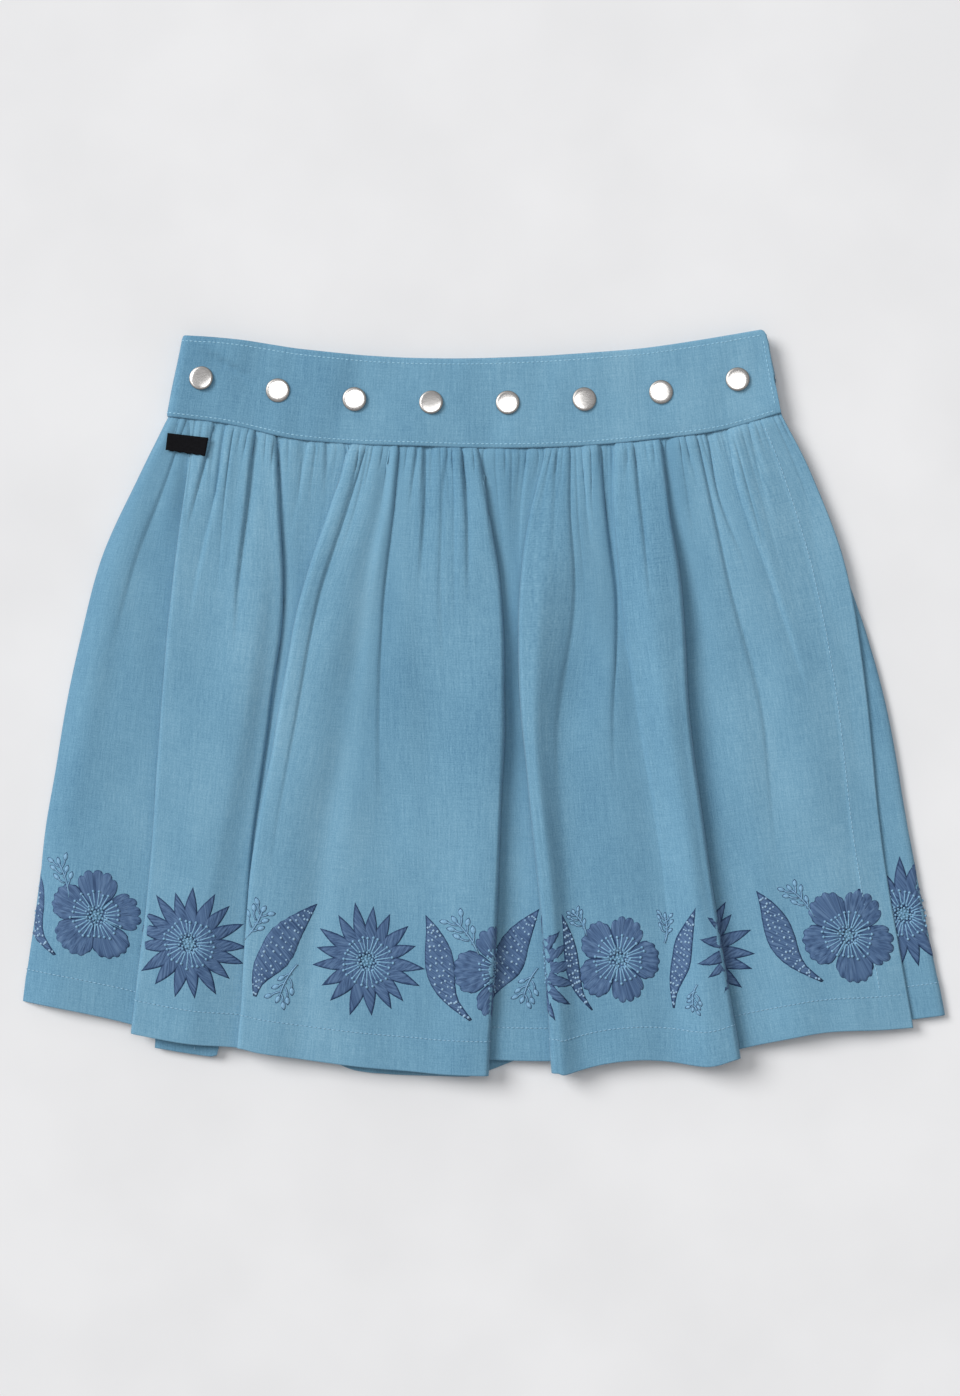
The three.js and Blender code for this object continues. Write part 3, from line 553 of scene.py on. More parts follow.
# %% Creases of the front
# place at the stations, start and end down the panel, depth, width, and the side that leans over
CREASES = (
    ((30, 42, 46, 44), 0, 0.4, 1.2, 2.6, 0.5),
    ((75, 90, 104, 108), 0, 0.18, 2.0, 1.8, 0.6),
    ((96, 118, 131, 130), 0, 0.32, 1.5, 2.2, -0.6),
    ((141, 163, 186, 200), 0, 0.34, 2.2, 1.8, 0.8),
    ((176, 210, 247, 247, 238), 0, 0.9, 4.4, 1.7, 0.4),
    ((229, 236, 240), 0, 0.16, 1.2, 2, -0.4),
    ((257, 277, 274, 262), 0, 0.14, 1.5, 2, 0.5),
    ((301, 288, 273, 258), 0, 0.3, 1.3, 2.2, -0.7),
    ((322, 311, 294, 279, 262), 0, 0.7, 1.4, 2.2, 0.6),
    ((375, 379, 380, 380, 391, 397), 0, 0.6, 1.6, 2.2, 0.5),
    ((405, 403, 402), 0, 0.1, 1.3, 1.8, 0.5),
    ((418, 424, 427, 430), 0, 0.22, 1.7, 2, 0.8),
    ((455, 452, 450), 0, 0.07, 1.2, 1.6, 0.4),
    ((449, 451, 456, 466), 0.05, 0.36, 0.9, 2.6, 0.4),
    ((477, 487, 493, 496), 0, 0.24, 1.9, 1.8, 0.8),
    ((504, 519, 532, 530), 0, 0.2, 1.2, 2, 1),
    ((587, 569, 561, 558), 0, 0.2, 1.4, 2, -0.7),
    ((633, 618, 604, 600), 0, 0.2, 0.9, 2, 0.3),
    ((656, 642, 635, 600, 600, 603), 0, 0.6, 1.4, 3, 0.4),
    ((676, 667, 669), 0, 0.16, 1.4, 2, -0.5),
    ((704, 694, 691, 668, 664), 0, 0.55, 2.3, 2, 0.4),
    ((728, 706, 697, 702, 716, 711), 0, 0.85, 1.8, 2.4, -0.7),
    ((757, 745, 735, 735), 0, 0.28, 1.6, 2, 0.7),
    ((802, 788, 776, 764), 0, 0.3, 1.2, 2, 1),
    ((842, 836, 832), 0, 0.08, 1.2, 2, 0.3),
    ((861, 850, 842, 850, 845), 0, 0.7, 1.5, 2.2, 0.5),
    ((878, 862, 872, 880), 0, 0.22, 2.1, 2, 0.4),
    ((913, 894, 898, 908, 915), 0, 0.44, 1.5, 2.4, -0.8),
    ((946, 928, 920), 0, 0.18, 1.1, 2.2, -0.3),
)


def crease(cloth, creases):
    push = np.zeros(cloth.shown.shape)
    for at, start, end, depth, width, side in creases:
        strength = depth * fade(cloth.down, start - 0.03, end)[:, None]
        push += strength * groove(right_of(cloth, at), 0.5 * width, side)
    cloth.push(push * cloth.shown)


print("creases:", len(CREASES))


# %% Puff under the band and small unevenness
def puff(cloth, height, reach):
    """The cloth dips into the band's lower edge and swells just below it."""
    down = cloth.down
    rise = np.clip((down + 0.004) / 0.016, 0, 1) * np.exp(-np.clip(down, 0, 1) / reach)
    dip = np.clip((0.008 - down) / 0.014, 0, 1)
    cloth.push(height * (rise - dip)[:, None] * np.maximum(cloth.shown, 0.3))


def uneven(cloth, height, seed, waves=16):
    """Soft unevenness, as cloth has that was pressed and then handled."""
    random = np.random.default_rng(seed)
    push = 0
    for _ in range(waves):
        length, angle, phase = random.uniform(18, 80), random.normal(0, 0.6), random.uniform(0, 6.3)
        along = cloth.across * math.cos(angle) + cloth.up[:, None] * math.sin(angle)
        push = push + np.sin(along * 2 * math.pi / length + phase) * length / 50
    cloth.push(push * height / math.sqrt(waves))


# %% Limits above and below
def keep_under_band(cloth, height, slope):
    """Holds the cloth down where it goes under the band's lower edge."""
    limit = height + slope * np.clip(cloth.down * PANEL_LENGTH + 1, 0, 40)
    cloth.points[..., 2] = np.minimum(cloth.points[..., 2], limit[:, None])
    cloth.update()


def trim_spikes(cloth, most):
    """Lowers a single column that stands up between its neighbours."""
    z = cloth.points[..., 2]
    beside = np.maximum(z[:, :-2], z[:, 2:])
    z[:, 1:-1] = np.minimum(z[:, 1:-1], beside + most)
    cloth.update()


def keep_above(cloth, lowest):
    """Keeps a sheet off what lies beneath it."""
    cloth.points[..., 2] = np.maximum(cloth.points[..., 2], lowest)
    cloth.update()


# %% Shape the three sheets
FRONT_FLOOR_AT = (0, 0.06, 0.14, 0.88, 0.95)  # across the hem, left to right
FRONT_FLOOR = (0.8, 0.8, 7.3, 7.3, 5.9)  # the under lap lies beneath the middle
PANEL_FLOOR, BACK_FLOOR = 0.8, 1

swell(front, SWELLS)
gather(front, count=84, seed=3, reaches=(0.05, 0.1, 0.24), depth=0.8)
crease(front, CREASES)
puff(front, height=0.9, reach=0.07)
uneven(front, height=0.4, seed=5)
front_share = (front.points[..., 0] - OUTLINE_LEFT[-1]) / (OUTLINE_RIGHT[-1] - OUTLINE_LEFT[-1])
front_floor = np.interp(front_share, FRONT_FLOOR_AT, FRONT_FLOOR)
keep_above(front, np.where(front.shown > 0.5, front_floor, PANEL_FLOOR))
keep_under_band(front, height=8.5, slope=0.8)
trim_spikes(front, most=0.1)
gather(under, count=40, seed=4, reaches=(0.05, 0.1, 0.2), depth=0.5)
uneven(under, height=0.2, seed=6)
keep_above(under, PANEL_FLOOR)
gather(back, count=56, seed=8, reaches=(0.05, 0.14, 0.32), depth=-1.1)
uneven(back, height=0.3, seed=9)
keep_above(back, BACK_FLOOR)
print("lowest points:", [round(float(c.points[..., 2].min()), 2) for c in (front, under, back)])

# %% [markdown]
# ## The panels
#
# The sheet becomes a mesh: one bmesh grid, whose vertices are moved to the sheet's points, with the
# fabric coordinates as its UV map. Solidify gives the cloth its thickness. A vertex group makes it
# twice as thick along the hem and the free edge, where the real cloth is turned under and sewn.

# %% A mesh on a sheet
CLOTH_THICKNESS, HEM_THICKNESS = 0.8, 1.5
HEM_DEPTH, FLAP_HEM = 22.5, 18  # from the edge to the line of stitches
UNDER_HEM = 24  # the same at the free edge of the under lap


def link_mesh(name, bm):
    mesh = bpy.data.meshes.new(name)
    bm.to_mesh(mesh)
    bm.free()
    mesh.shade_smooth()
    return link(bpy.data.objects.new(name, mesh))


def cloth_piece(name, cloth, thick, thickness):
    """A grid laid on the cloth's points; thick is the share of the thickness at each of them."""
    rows, columns = cloth.points.shape[:2]
    bm = bmesh.new()
    bm.loops.layers.uv.new("fabric")
    bmesh.ops.create_grid(bm, x_segments=columns - 1, y_segments=rows - 1, size=1)
    piece = link_mesh(name, bm)
    mesh = piece.data
    flat = np.empty(len(mesh.vertices) * 3, np.float32)
    mesh.vertices.foreach_get("co", flat)
    flat = flat.reshape(-1, 3)
    column = np.rint((flat[:, 0] + 1) / 2 * (columns - 1)).astype(int)
    row = np.rint((1 - flat[:, 1]) / 2 * (rows - 1)).astype(int)
    mesh.vertices.foreach_set("co", (cloth.points[row, column] * MM).astype(np.float32).ravel())
    fabric = np.stack([cloth.across[column], cloth.up[row]], -1) * MM
    corners = np.empty(len(mesh.loops), np.int32)
    mesh.loops.foreach_get("vertex_index", corners)
    mesh.uv_layers["fabric"].data.foreach_set("uv", fabric[corners].astype(np.float32).ravel())
    group = piece.vertex_groups.new(name="thickness")
    values = np.round(thick[row, column], 2)
    for value in np.unique(values):
        group.add(np.flatnonzero(values == value).tolist(), float(value), "REPLACE")
    shell = piece.modifiers.new("cloth_thickness", "SOLIDIFY")
    shell.thickness = thickness * MM
    shell.offset = 0
    shell.vertex_group = "thickness"
    return piece


# %% Build the panels
def hem_share(cloth, free_edge=None, hem=FLAP_HEM):
    """Share of the hem's thickness over a panel: full at the hem and beside a free edge."""
    thick = np.full(cloth.shown.shape, CLOTH_THICKNESS / HEM_THICKNESS)
    thick[cloth.up < HEM_DEPTH] = 1
    if free_edge is not None:
        thick[:, np.abs(cloth.across - cloth.across[free_edge]) < hem] = 1
    return thick


front_panel = cloth_piece("front_flap", front, hem_share(front, -1), HEM_THICKNESS)
under_panel = cloth_piece("under_lap", under, hem_share(under, 0, UNDER_HEM), HEM_THICKNESS)
back_panel = cloth_piece("back_stretch", back, hem_share(back), HEM_THICKNESS)
print("front flap:", len(front_panel.data.polygons), "faces before its thickness")

# %% [markdown]
# ## The waistband
#
# The waistband is a strip of denim folded over a stiffening, so it is thicker and smoother than the
# panel. It winds from its hidden end, round the right side, along the back, round the left side and
# over the front to the free end with the press studs. One ring of the same grid follows that path.
# Its edges are thinned to look like a fold, the studs pull small dents into it, and a soft buckle
# crosses its left end, where it turns round the waist.

# %% Points of the band
BAND_BACK_Z, BAND_UNDER_Z, BAND_FRONT_Z = 1, 4.3, 9.9  # middle of each stretch's thickness
BAND_THICKNESS, BAND_HEIGHT = 2, 54
BAND_WIDTH = OUTLINE_RIGHT[0] - OUTLINE_LEFT[0]
FREE_END_INSET, BACK_TURN_INSET, BAND_CORNER = 5, 4, 4
BAND_EDGE_ROWS = (1, 0.985, 0.95)  # of its height; the grid is finer near the folded edges
STITCH_ROWS = (0.935, 0.045)  # the same, where the two long rows of stitches run
SNAP_COUNT, SNAP_PITCH, LAST_SNAP = 8, 0.1281, 0.94  # in shares of its width


def band_point(share, up):
    """x and y of the band at a share of its width and of its height from the seam."""
    lower, upper = curve(TENTHS, SEAM_Y, share) + SEAM_GAP, curve(TENTHS, BAND_TOP_Y, share)
    left = mix(OUTLINE_LEFT[0], BAND_TOP_LEFT, up)
    right = mix(OUTLINE_RIGHT[0], BAND_TOP_RIGHT, up)
    return mix(left, right, share), mix(lower, upper, up)


print("band: ", round(BAND_WIDTH), "mm wide lying flat")


# %% Path of the band
def band_turn(share, z1, z2, outward, steps=9):
    """Half a circle from one height to another, seen along the band's length."""
    angle = np.linspace(0, math.pi, steps + 2)[1:-1]
    out = outward * abs(z2 - z1) / 2 * np.sin(angle) / BAND_WIDTH
    return np.stack([share + out, (z1 + z2) / 2 + (z1 - z2) / 2 * np.cos(angle), 0 * angle], -1)


def band_stretch(start, end, z, steps):
    share = np.linspace(start, end, steps)
    return np.stack([share, np.full(steps, z), np.zeros(steps)], -1)


front_turn = (BAND_FRONT_Z - BAND_BACK_Z) / 2 / BAND_WIDTH
back_right = 1 - (BACK_TURN_INSET + (BAND_UNDER_Z - BAND_BACK_Z) / 2) / BAND_WIDTH
corner = BAND_CORNER / BAND_WIDTH
corner_angle = np.linspace(0, math.pi / 2, 9)[1:]
free_end = [1 - corner * (1 - np.sin(corner_angle)), np.full(8, BAND_FRONT_Z),
            BAND_CORNER * (1 - np.cos(corner_angle))]
band_path = np.concatenate([
    band_stretch(FREE_END_INSET / BAND_WIDTH, back_right, BAND_UNDER_Z, 70),
    band_turn(back_right, BAND_UNDER_Z, BAND_BACK_Z, 1),
    band_stretch(back_right, front_turn, BAND_BACK_Z, 70),
    band_turn(front_turn, BAND_BACK_Z, BAND_FRONT_Z, -1),
    band_stretch(front_turn, 1 - corner, BAND_FRONT_Z, 230),
    np.stack(free_end, -1),
])
band_up = np.concatenate([BAND_EDGE_ROWS, np.linspace(0.92, 0.08, 16), (0.05, 0.015, 0)])
band_x, band_y = band_point(band_path[:, 0], band_up[:, None])
band_y = band_y - band_path[:, 2] * band_up[:, None]
band_z = band_path[:, 1] + 0 * band_y
band_points = np.stack([band_x, band_y, band_z], -1)
band = Cloth(band_points, arc_lengths(band_points[len(band_up) // 2]), band_up * BAND_HEIGHT)
print("band:", round(band.across[-1]), "mm of strip")

# %% Dents, buckle and thin edges of the band
DENT_DEPTH, DENT_RADIUS = 0.35, 12
BUCKLE_AT, BUCKLE_REACH, BUCKLE_TOP, BUCKLE_SLOPE = 0.085, 0.045, 0.92, 3
BUCKLE_DEPTH, BUCKLE_WIDTH, BULGE_HEIGHT, BULGE_WIDTH, BULGE_ABOVE = 3.4, 0.042, 1.2, 0.1, 0.12
ROW_DEPTH, ROW_WIDTH = 0.22, 0.02
BAND_EDGE = 0.35  # share of the thickness at the edges

snap_shares = [LAST_SNAP - SNAP_PITCH * (SNAP_COUNT - 1 - i) for i in range(SNAP_COUNT)]
snaps = [band_point(share, 0.5) for share in snap_shares]
on_front = (band_path[:, 1] > BAND_FRONT_Z - 0.1).astype(float)
band_push = np.zeros(band_x.shape)
for x, y in snaps:
    band_push -= DENT_DEPTH * bell(np.hypot(band_x - x, band_y - y), DENT_RADIUS)
over_buckle = band_up[:, None] - BUCKLE_TOP + BUCKLE_SLOPE * band_path[:, 0]
buckle = BULGE_HEIGHT * bell(over_buckle - BULGE_ABOVE, BULGE_WIDTH)
buckle -= BUCKLE_DEPTH * bell(over_buckle, BUCKLE_WIDTH)
band_push += buckle * bell(band_path[:, 0] - BUCKLE_AT, BUCKLE_REACH)
for row in STITCH_ROWS:  # the stitches press it flat
    band_push -= ROW_DEPTH * bell(band_up[:, None] - row, ROW_WIDTH)
band.push(band_push * on_front)
deepest = np.unravel_index(np.argmin(band_push * on_front), band_push.shape)
print("deepest place of the buckle:", round(float(band_x[deepest])), round(float(band_y[deepest])))
band.shown = np.ones(band_x.shape)
uneven(band, height=0.5, seed=12)
keep_above(band, BAND_BACK_Z)
band_thick = np.interp(np.minimum(band_up, 1 - band_up), (0, 0.015, 0.05), (BAND_EDGE, 0.8, 1))
band_thick = band_thick[:, None] * np.ones(band_x.shape)
band_thick[:, 0] = band_thick[:, -1] = BAND_EDGE
waistband = cloth_piece("waistband_strip", band, band_thick, BAND_THICKNESS)
print("waistband:", len(waistband.data.polygons), "faces before its thickness")

# %% [markdown]
# ## Stitches
#
# Every seam shows a row of pale thread. A dashed line in the material would be flat and would
# blur close by, so each stitch is a small ellipsoid that lies on the cloth in the seam's direction,
# sunk a little at both ends. There are many, so each has only two dozen faces.

# %% Lots of small shapes
# An operator looks at every vertex of its bmesh, so thousands of small shapes in one bmesh get
# slower and slower. They are made in lots, and the lots are put together at the end.
LOT_SIZE = 1500


class Lots:
    def __init__(self, layer=None):
        self.layer, self.meshes = layer, []
        self.start()

    def start(self):
        self.bm = bmesh.new()
        if self.layer:
            self.bm.verts.layers.float_vector.new(self.layer)

    def close_lot(self):
        mesh = bpy.data.meshes.new("lot")
        self.bm.to_mesh(mesh)
        self.bm.free()
        self.meshes.append(mesh)

    def current(self):
        if len(self.bm.verts) > LOT_SIZE:
            self.close_lot()
            self.start()
        return self.bm

    def link(self, name):
        self.close_lot()
        whole = bmesh.new()
        for mesh in self.meshes:
            whole.from_mesh(mesh)
            bpy.data.meshes.remove(mesh)
        return link_mesh(name, whole)


# %% Sew one row of stitches
STITCH_PITCH, STITCH_LENGTH, STITCH_WIDTH, STITCH_RISE = 2.9, 2.4, 0.6, 0.3


def sew(lots, cloth, across, up, lift):
    """Stitches along a line given in fabric coordinates, either of which may be one number."""
    across, up = (np.array(part, float) for part in np.broadcast_arrays(across, up))
    points, normals = cloth.place(across, up, lift)
    arc = arc_lengths(points)
    for at in np.arange(STITCH_PITCH, arc[-1] - STITCH_PITCH / 2, STITCH_PITCH):
        middle, start, end, normal = (
            Vector([np.interp(where, arc, line[:, k]) for k in range(3)])
            for where, line in ((at, points), (at - 1, points), (at + 1, points), (at, normals))
        )
        along = (end - start).normalized()
        side = normal.cross(along).normalized()
        axes = Matrix((along * STITCH_LENGTH / 2, side * STITCH_WIDTH / 2, normal * STITCH_RISE))
        matrix = Matrix.Translation(middle * MM) @ (axes.transposed() * MM).to_4x4()
        bm = lots.current()
        bmesh.ops.create_uvsphere(bm, u_segments=6, v_segments=4, radius=1, matrix=matrix)


# %% Sew the panels and the band
def run(start, end, steps=500):
    return np.linspace(start, end, steps)


seam_lots, hem_lift = Lots(), HEM_THICKNESS / 2
for cloth in (front, under, back):
    sew(seam_lots, cloth, run(2, cloth.across[-1] - 2), HEM_DEPTH - 1, hem_lift)
fabric_end = front.across[-1]
sew(seam_lots, front, fabric_end - FLAP_HEM + 1, run(PANEL_LENGTH - 4, 24), hem_lift)
sew(seam_lots, under, UNDER_HEM - 1, run(PANEL_LENGTH - 4, 1), hem_lift)
panel_stitches = seam_lots.link("panel_stitches")

band_lots, band_lift, end_row = Lots(), BAND_THICKNESS / 2, band.across[-1] - 3.4
top_row, low_row = (row * BAND_HEIGHT for row in STITCH_ROWS)
for row in (top_row, low_row):
    sew(band_lots, band, run(3, end_row), row, band_lift)
sew(band_lots, band, end_row, run(top_row - 2, low_row + 2), band_lift)
band_stitches = band_lots.link("band_stitches")
print("stitches:", len(panel_stitches.data.polygons) // 24, len(band_stitches.data.polygons) // 24)

# %% [markdown]
# ## Embroidery
#
# A border of daisies, notched flowers and speckled leaves runs round the skirt above the hem. Such
# work is satin stitch: bundles of parallel thread that stand a little proud and have a darker
# outline, with light single threads on top for stamens, dots and sprigs. Each petal is its own
# small domed grid. It is drawn in fabric coordinates and then laid on the sheet, so it follows the
# folds and disappears into the laps with the cloth. The shapes come from formulas, so any number
# of petals can be tried.

# %% A domed patch of satin stitch
SATIN_HEIGHT = 0.28
SINK = -0.1  # the edge of a patch goes this far into the cloth


class Embroidery:
    """Gathers the patches of one panel, dark ones and light ones."""

    def __init__(self, cloth, hem=None, relief=1.0):
        """hem: where the thick hem of a free edge lies across the cloth, from and to."""
        self.cloth, self.hem, self.relief = cloth, hem or (-1, -1), relief
        self.satin, self.light, self.pale = Lots("stitch"), Lots(), Lots()

    def base(self, u):
        """Height of the cloth's face over the middle of its thickness."""
        at_hem = (u > self.hem[0] - 0.8) & (u < self.hem[1] + 0.8)
        return np.where(at_hem, HEM_THICKNESS, CLOTH_THICKNESS) / 2

    def patch(self, lots, across, along, shape, height):
        """shape(s, t) gives u, h, the satin's stitch coordinates and the distance to the edge."""
        bm = lots.current()
        verts = bmesh.ops.create_grid(bm, x_segments=across, y_segments=along, size=1)["verts"]
        s = np.array([vert.co.x for vert in verts])
        t = np.array([(vert.co.y + 1) / 2 for vert in verts])
        u, h, stitch, edge = shape(s, t)
        dome = np.sqrt(np.clip(edge / 1.3, 0, 1))
        lift = self.base(u) + mix(SINK, height * self.relief, dome)
        points = self.cloth.place(u, h, lift)[0] * MM
        layer = bm.verts.layers.float_vector.get("stitch")
        for k, vert in enumerate(verts):
            vert.co = points[k]
            if layer is not None:
                vert[layer] = (u[k] + 0.35 * h[k], stitch[k], edge[k])

    def stroke(self, start, end, width=1.45, bend=0.0, steps=3, rim=0.0):
        """A light thread from start to end, and a dark one that shows at its rims as a painted
        shadow outline.
        """
        (u0, h0), (u1, h1) = start, end
        length = math.hypot(u1 - u0, h1 - h0)
        du, dh = (u1 - u0) / length, (h1 - h0) / length

        def shape(s, t, width=width):
            along, side = t * length, -s * width / 2 - bend * 4 * t * (1 - t)
            u, h = u0 + du * along - dh * side, h0 + dh * along + du * side
            return u, h, side, (1 - np.abs(s)) * 2

        self.patch(self.light, 2, steps, shape, 0.8)
        # the dark rim is painted shadow along the edges of the light thread
        if rim:
            self.patch(self.satin, 2, steps, lambda s, t: shape(s, t, width + 2 * rim), 0.2)

    def dot(self, u, h, radius=0.7, lift=0.5, lots=None):
        """A knot of light thread."""
        face = self.base(np.array([u]))
        point, normal = self.cloth.place(np.array([u]), np.array([h]), face + lift * self.relief)
        turn = Vector(normal[0]).to_track_quat("Z", "Y").to_matrix()
        size = Matrix.Diagonal((radius, radius, radius * 0.7 * self.relief)) * MM
        matrix = Matrix.Translation(Vector(point[0]) * MM) @ (turn @ size).to_4x4()
        bm = (lots or self.light).current()
        bmesh.ops.create_icosphere(bm, subdivisions=1, radius=1, matrix=matrix)


# %% Stamens
STAMENS, STAMEN_FOOT, STAMEN_REACH = 28, 5, 15.8  # number, then millimetres from the centre
CENTRE_KNOTS, KNOT_TURN, KNOT_SPREAD = 36, 2.4, 1.2  # a spiral, as in the head of a real daisy


def stamens(work, u, h, random):
    for k in range(STAMENS):
        angle = 2 * math.pi * (k + random.uniform(-0.15, 0.15)) / STAMENS
        reach = STAMEN_REACH * random.uniform(0.84, 1.04)
        start = STAMEN_FOOT * random.uniform(0.8, 1.4)
        across, up = math.cos(angle), math.sin(angle)
        tip = (u + reach * across, h + reach * up)
        work.stroke((u + start * across, h + start * up), tip)
        work.dot(*tip, 1.0, 0.65)
    for k in range(CENTRE_KNOTS):
        angle, reach = k * KNOT_TURN, KNOT_SPREAD * math.sqrt(k)
        work.dot(u + reach * math.cos(angle), h + reach * math.sin(angle), 0.85, 0.45)


# %% Daisies
PETAL_FOOT = 3  # from the centre, the same for both kinds of flower
DAISY_PETALS, DAISY_RADIUS, DAISY_HALF = 17, 36, 4.5


def daisy(work, u, h, random, turn=0.0):
    """Narrow pointed petals, each bent a little to one side."""
    for k in range(DAISY_PETALS):
        angle = 2 * math.pi * (k + random.uniform(-0.12, 0.12)) / DAISY_PETALS + turn
        across, up = math.cos(angle), math.sin(angle)
        reach, bent = DAISY_RADIUS * random.uniform(0.9, 1.04), random.uniform(-1.2, 1.2)

        def petal(s, t, reach=reach, across=across, up=up, bent=bent):
            along = mix(PETAL_FOOT, reach, t)
            half = DAISY_HALF * np.sin(math.pi * np.clip(t, 0, 1) ** 0.88) ** 0.95 + 0.15
            side = s * half + bent * t * t
            u_p, h_p = u + along * across + side * up, h + along * up - side * across
            return u_p, h_p, side * 0.8 + along * 0.5, half * (1 - np.abs(s))

        work.patch(work.satin, 6, 9, petal, SATIN_HEIGHT + 0.06 * (k % 3))
    stamens(work, u, h, random)


# %% Notched flowers
FLOWER_PETALS, FLOWER_RADIUS, FLOWER_SPREAD = 5, 31, 0.66  # the spread is half a petal's angle


def flower(work, u, h, random, turn, slim):
    """Broad petals with notched rims, not all of one size."""
    for k in range(FLOWER_PETALS):
        angle = 2 * math.pi * (k + random.uniform(-0.05, 0.05)) / FLOWER_PETALS + turn
        size, notches = FLOWER_RADIUS * random.uniform(0.92, 1.06), random.choice((5, 6))

        def petal(s, t, angle=angle, size=size, notches=notches):
            lobes = np.abs(np.cos(s * math.pi * notches / 2)) ** 0.6
            rim = size * (1 - 0.24 * np.abs(s) ** 3) * (0.92 + 0.08 * lobes)
            reach = mix(PETAL_FOOT, rim, t)
            spread = FLOWER_SPREAD * (0.74 + 0.26 * np.sin(math.pi * np.clip(t * 0.8, 0, 1)))
            turned = angle - s * spread
            edge = np.minimum(rim - reach, reach * spread * (1 - np.abs(s)))
            fan = turned * 16 + lobes * 1.5
            return u + slim * reach * np.cos(turned), h + reach * np.sin(turned), fan, edge

        work.patch(work.satin, 30, 8, petal, SATIN_HEIGHT + 0.06 * (k % 3))
    stamens(work, u, h, random)


# %% Leaves
LEAF_AT = (0, 0.15, 0.3, 0.45, 0.65, 0.85, 1)  # from the stem to the tip
LEAF_LEFT = (16.7, 4.8, -1.8, -4.8, -6.6, -10.2, -14.8)  # a leaf that points to the left
LEAF_RIGHT = (-15, -14, -10, -4, 1, 10, 18)
LEAF_HALF = (1.4, 4.2, 8.2, 10.8, 10, 5.2, 0.3)
LEAF_FOOT, LEAF_TIP = -31.5, 32.5
DOT_ROWS, DOT_PITCH = (-0.58, -0.2, 0.2, 0.58), 0.062


def leaf(work, u, h, random, side, slim):
    """A curved leaf with rows of light dots."""
    lean = LEAF_LEFT if side < 0 else LEAF_RIGHT

    def spine(t):
        return u + slim * curve(LEAF_AT, lean, t), h + mix(LEAF_FOOT, LEAF_TIP, t)

    def blade(s, t):
        (u0, h0), (u1, h1) = spine(t - 0.01), spine(t + 0.01)
        length = np.hypot(u1 - u0, h1 - h0)
        across, up = (u1 - u0) / length, (h1 - h0) / length
        middle_u, middle_h = spine(t)
        half = curve(LEAF_AT, LEAF_HALF, t) * slim
        u_l, h_l = middle_u + s * half * up, middle_h - s * half * across
        return u_l, h_l, s * half * 0.6 + h_l * 0.8, half * (1 - np.abs(s))

    work.patch(work.satin, 8, 14, blade, SATIN_HEIGHT)
    for row in DOT_ROWS:
        for t in np.arange(0.04, 0.96, DOT_PITCH):
            near = np.array([t + random.uniform(-0.016, 0.016)])
            u_d, h_d, _, edge = blade(np.array([row + random.uniform(-0.09, 0.09)]), near)
            if edge[0] > 0.9:
                work.dot(u_d[0], h_d[0], random.uniform(0.65, 1), SATIN_HEIGHT, work.pale)


# %% Sprigs
SHOOTS = ((0.28, 1), (0.4, -1), (0.54, 1), (0.64, -1), (0.78, 1), (0.84, -1))  # place and side


def sprig(work, u, h, random, turn, length):
    """A stem with side shoots that end in drops."""
    up, across = math.cos(turn), math.sin(turn)

    def at(along, side):
        return u + along * across + side * up, h + along * up - side * across

    def drop(along, side, toward):
        """A drop of light thread, long toward an angle off the stem."""
        ahead, aside = math.cos(toward), math.sin(toward)

        def shape(s, t, rim=0.0):
            half = 0.062 * length * np.sin(math.pi * np.clip(t, 0, 1)) ** 0.7 + 0.1 + rim
            reach = mix(-0.6 - rim, 0.18 * length + rim, t)
            off = s * half
            spot = at(along + ahead * reach - aside * off, side + aside * reach + ahead * off)
            return *spot, s, half * (1 - np.abs(s))

        work.patch(work.light, 4, 5, shape, 0.7)
        # a dark satin rim round the drop, painted shadow at its edge
        work.patch(work.satin, 4, 5, lambda s, t: shape(s, t, 0.4), 0.15)

    # the dark rims of the stem and shoots are painted shadow outlines
    work.stroke(at(-length / 2, 0), at(length * 0.42, 0), 1.2, bend=1.4, steps=6, rim=0.5)
    drop(length * 0.42, 0, 0)
    for start, side in SHOOTS:
        along = (start - 0.5) * length
        reach = length * random.uniform(0.16, 0.26)
        tip = along + reach * 0.85, side * reach * 0.75
        work.stroke(at(along, 0), at(*tip), 1.0, bend=side * 0.6, rim=0.5)
        drop(*tip, side * random.uniform(0.4, 0.9))


# %% Find a place on the cloth
def across_at(cloth, x, up):
    """Fabric coordinate where a panel passes x on its top layer."""
    across = run(0, cloth.across[-1], 4000)
    points = cloth.place(across, np.full(4000, float(up)))[0]
    near = np.flatnonzero(np.diff(np.sign(points[:, 0] - x)))
    return across[near[np.argmax(points[near, 2])]]


print("the front's middle is", round(float(across_at(front, 0, 63))), "mm from its hidden edge")

# %% [markdown]
# ## The border
#
# A machine stitches such a border on the flat panel before it is gathered, as a row of motifs at
# one height over the hem. So a table lists them by their place along the cloth. The motifs could
# repeat evenly, but where a fold swallows part of the row the eye expects the next one to fit the
# cloth that shows. The front flap therefore has a row of its own, and the back repeats a short one.

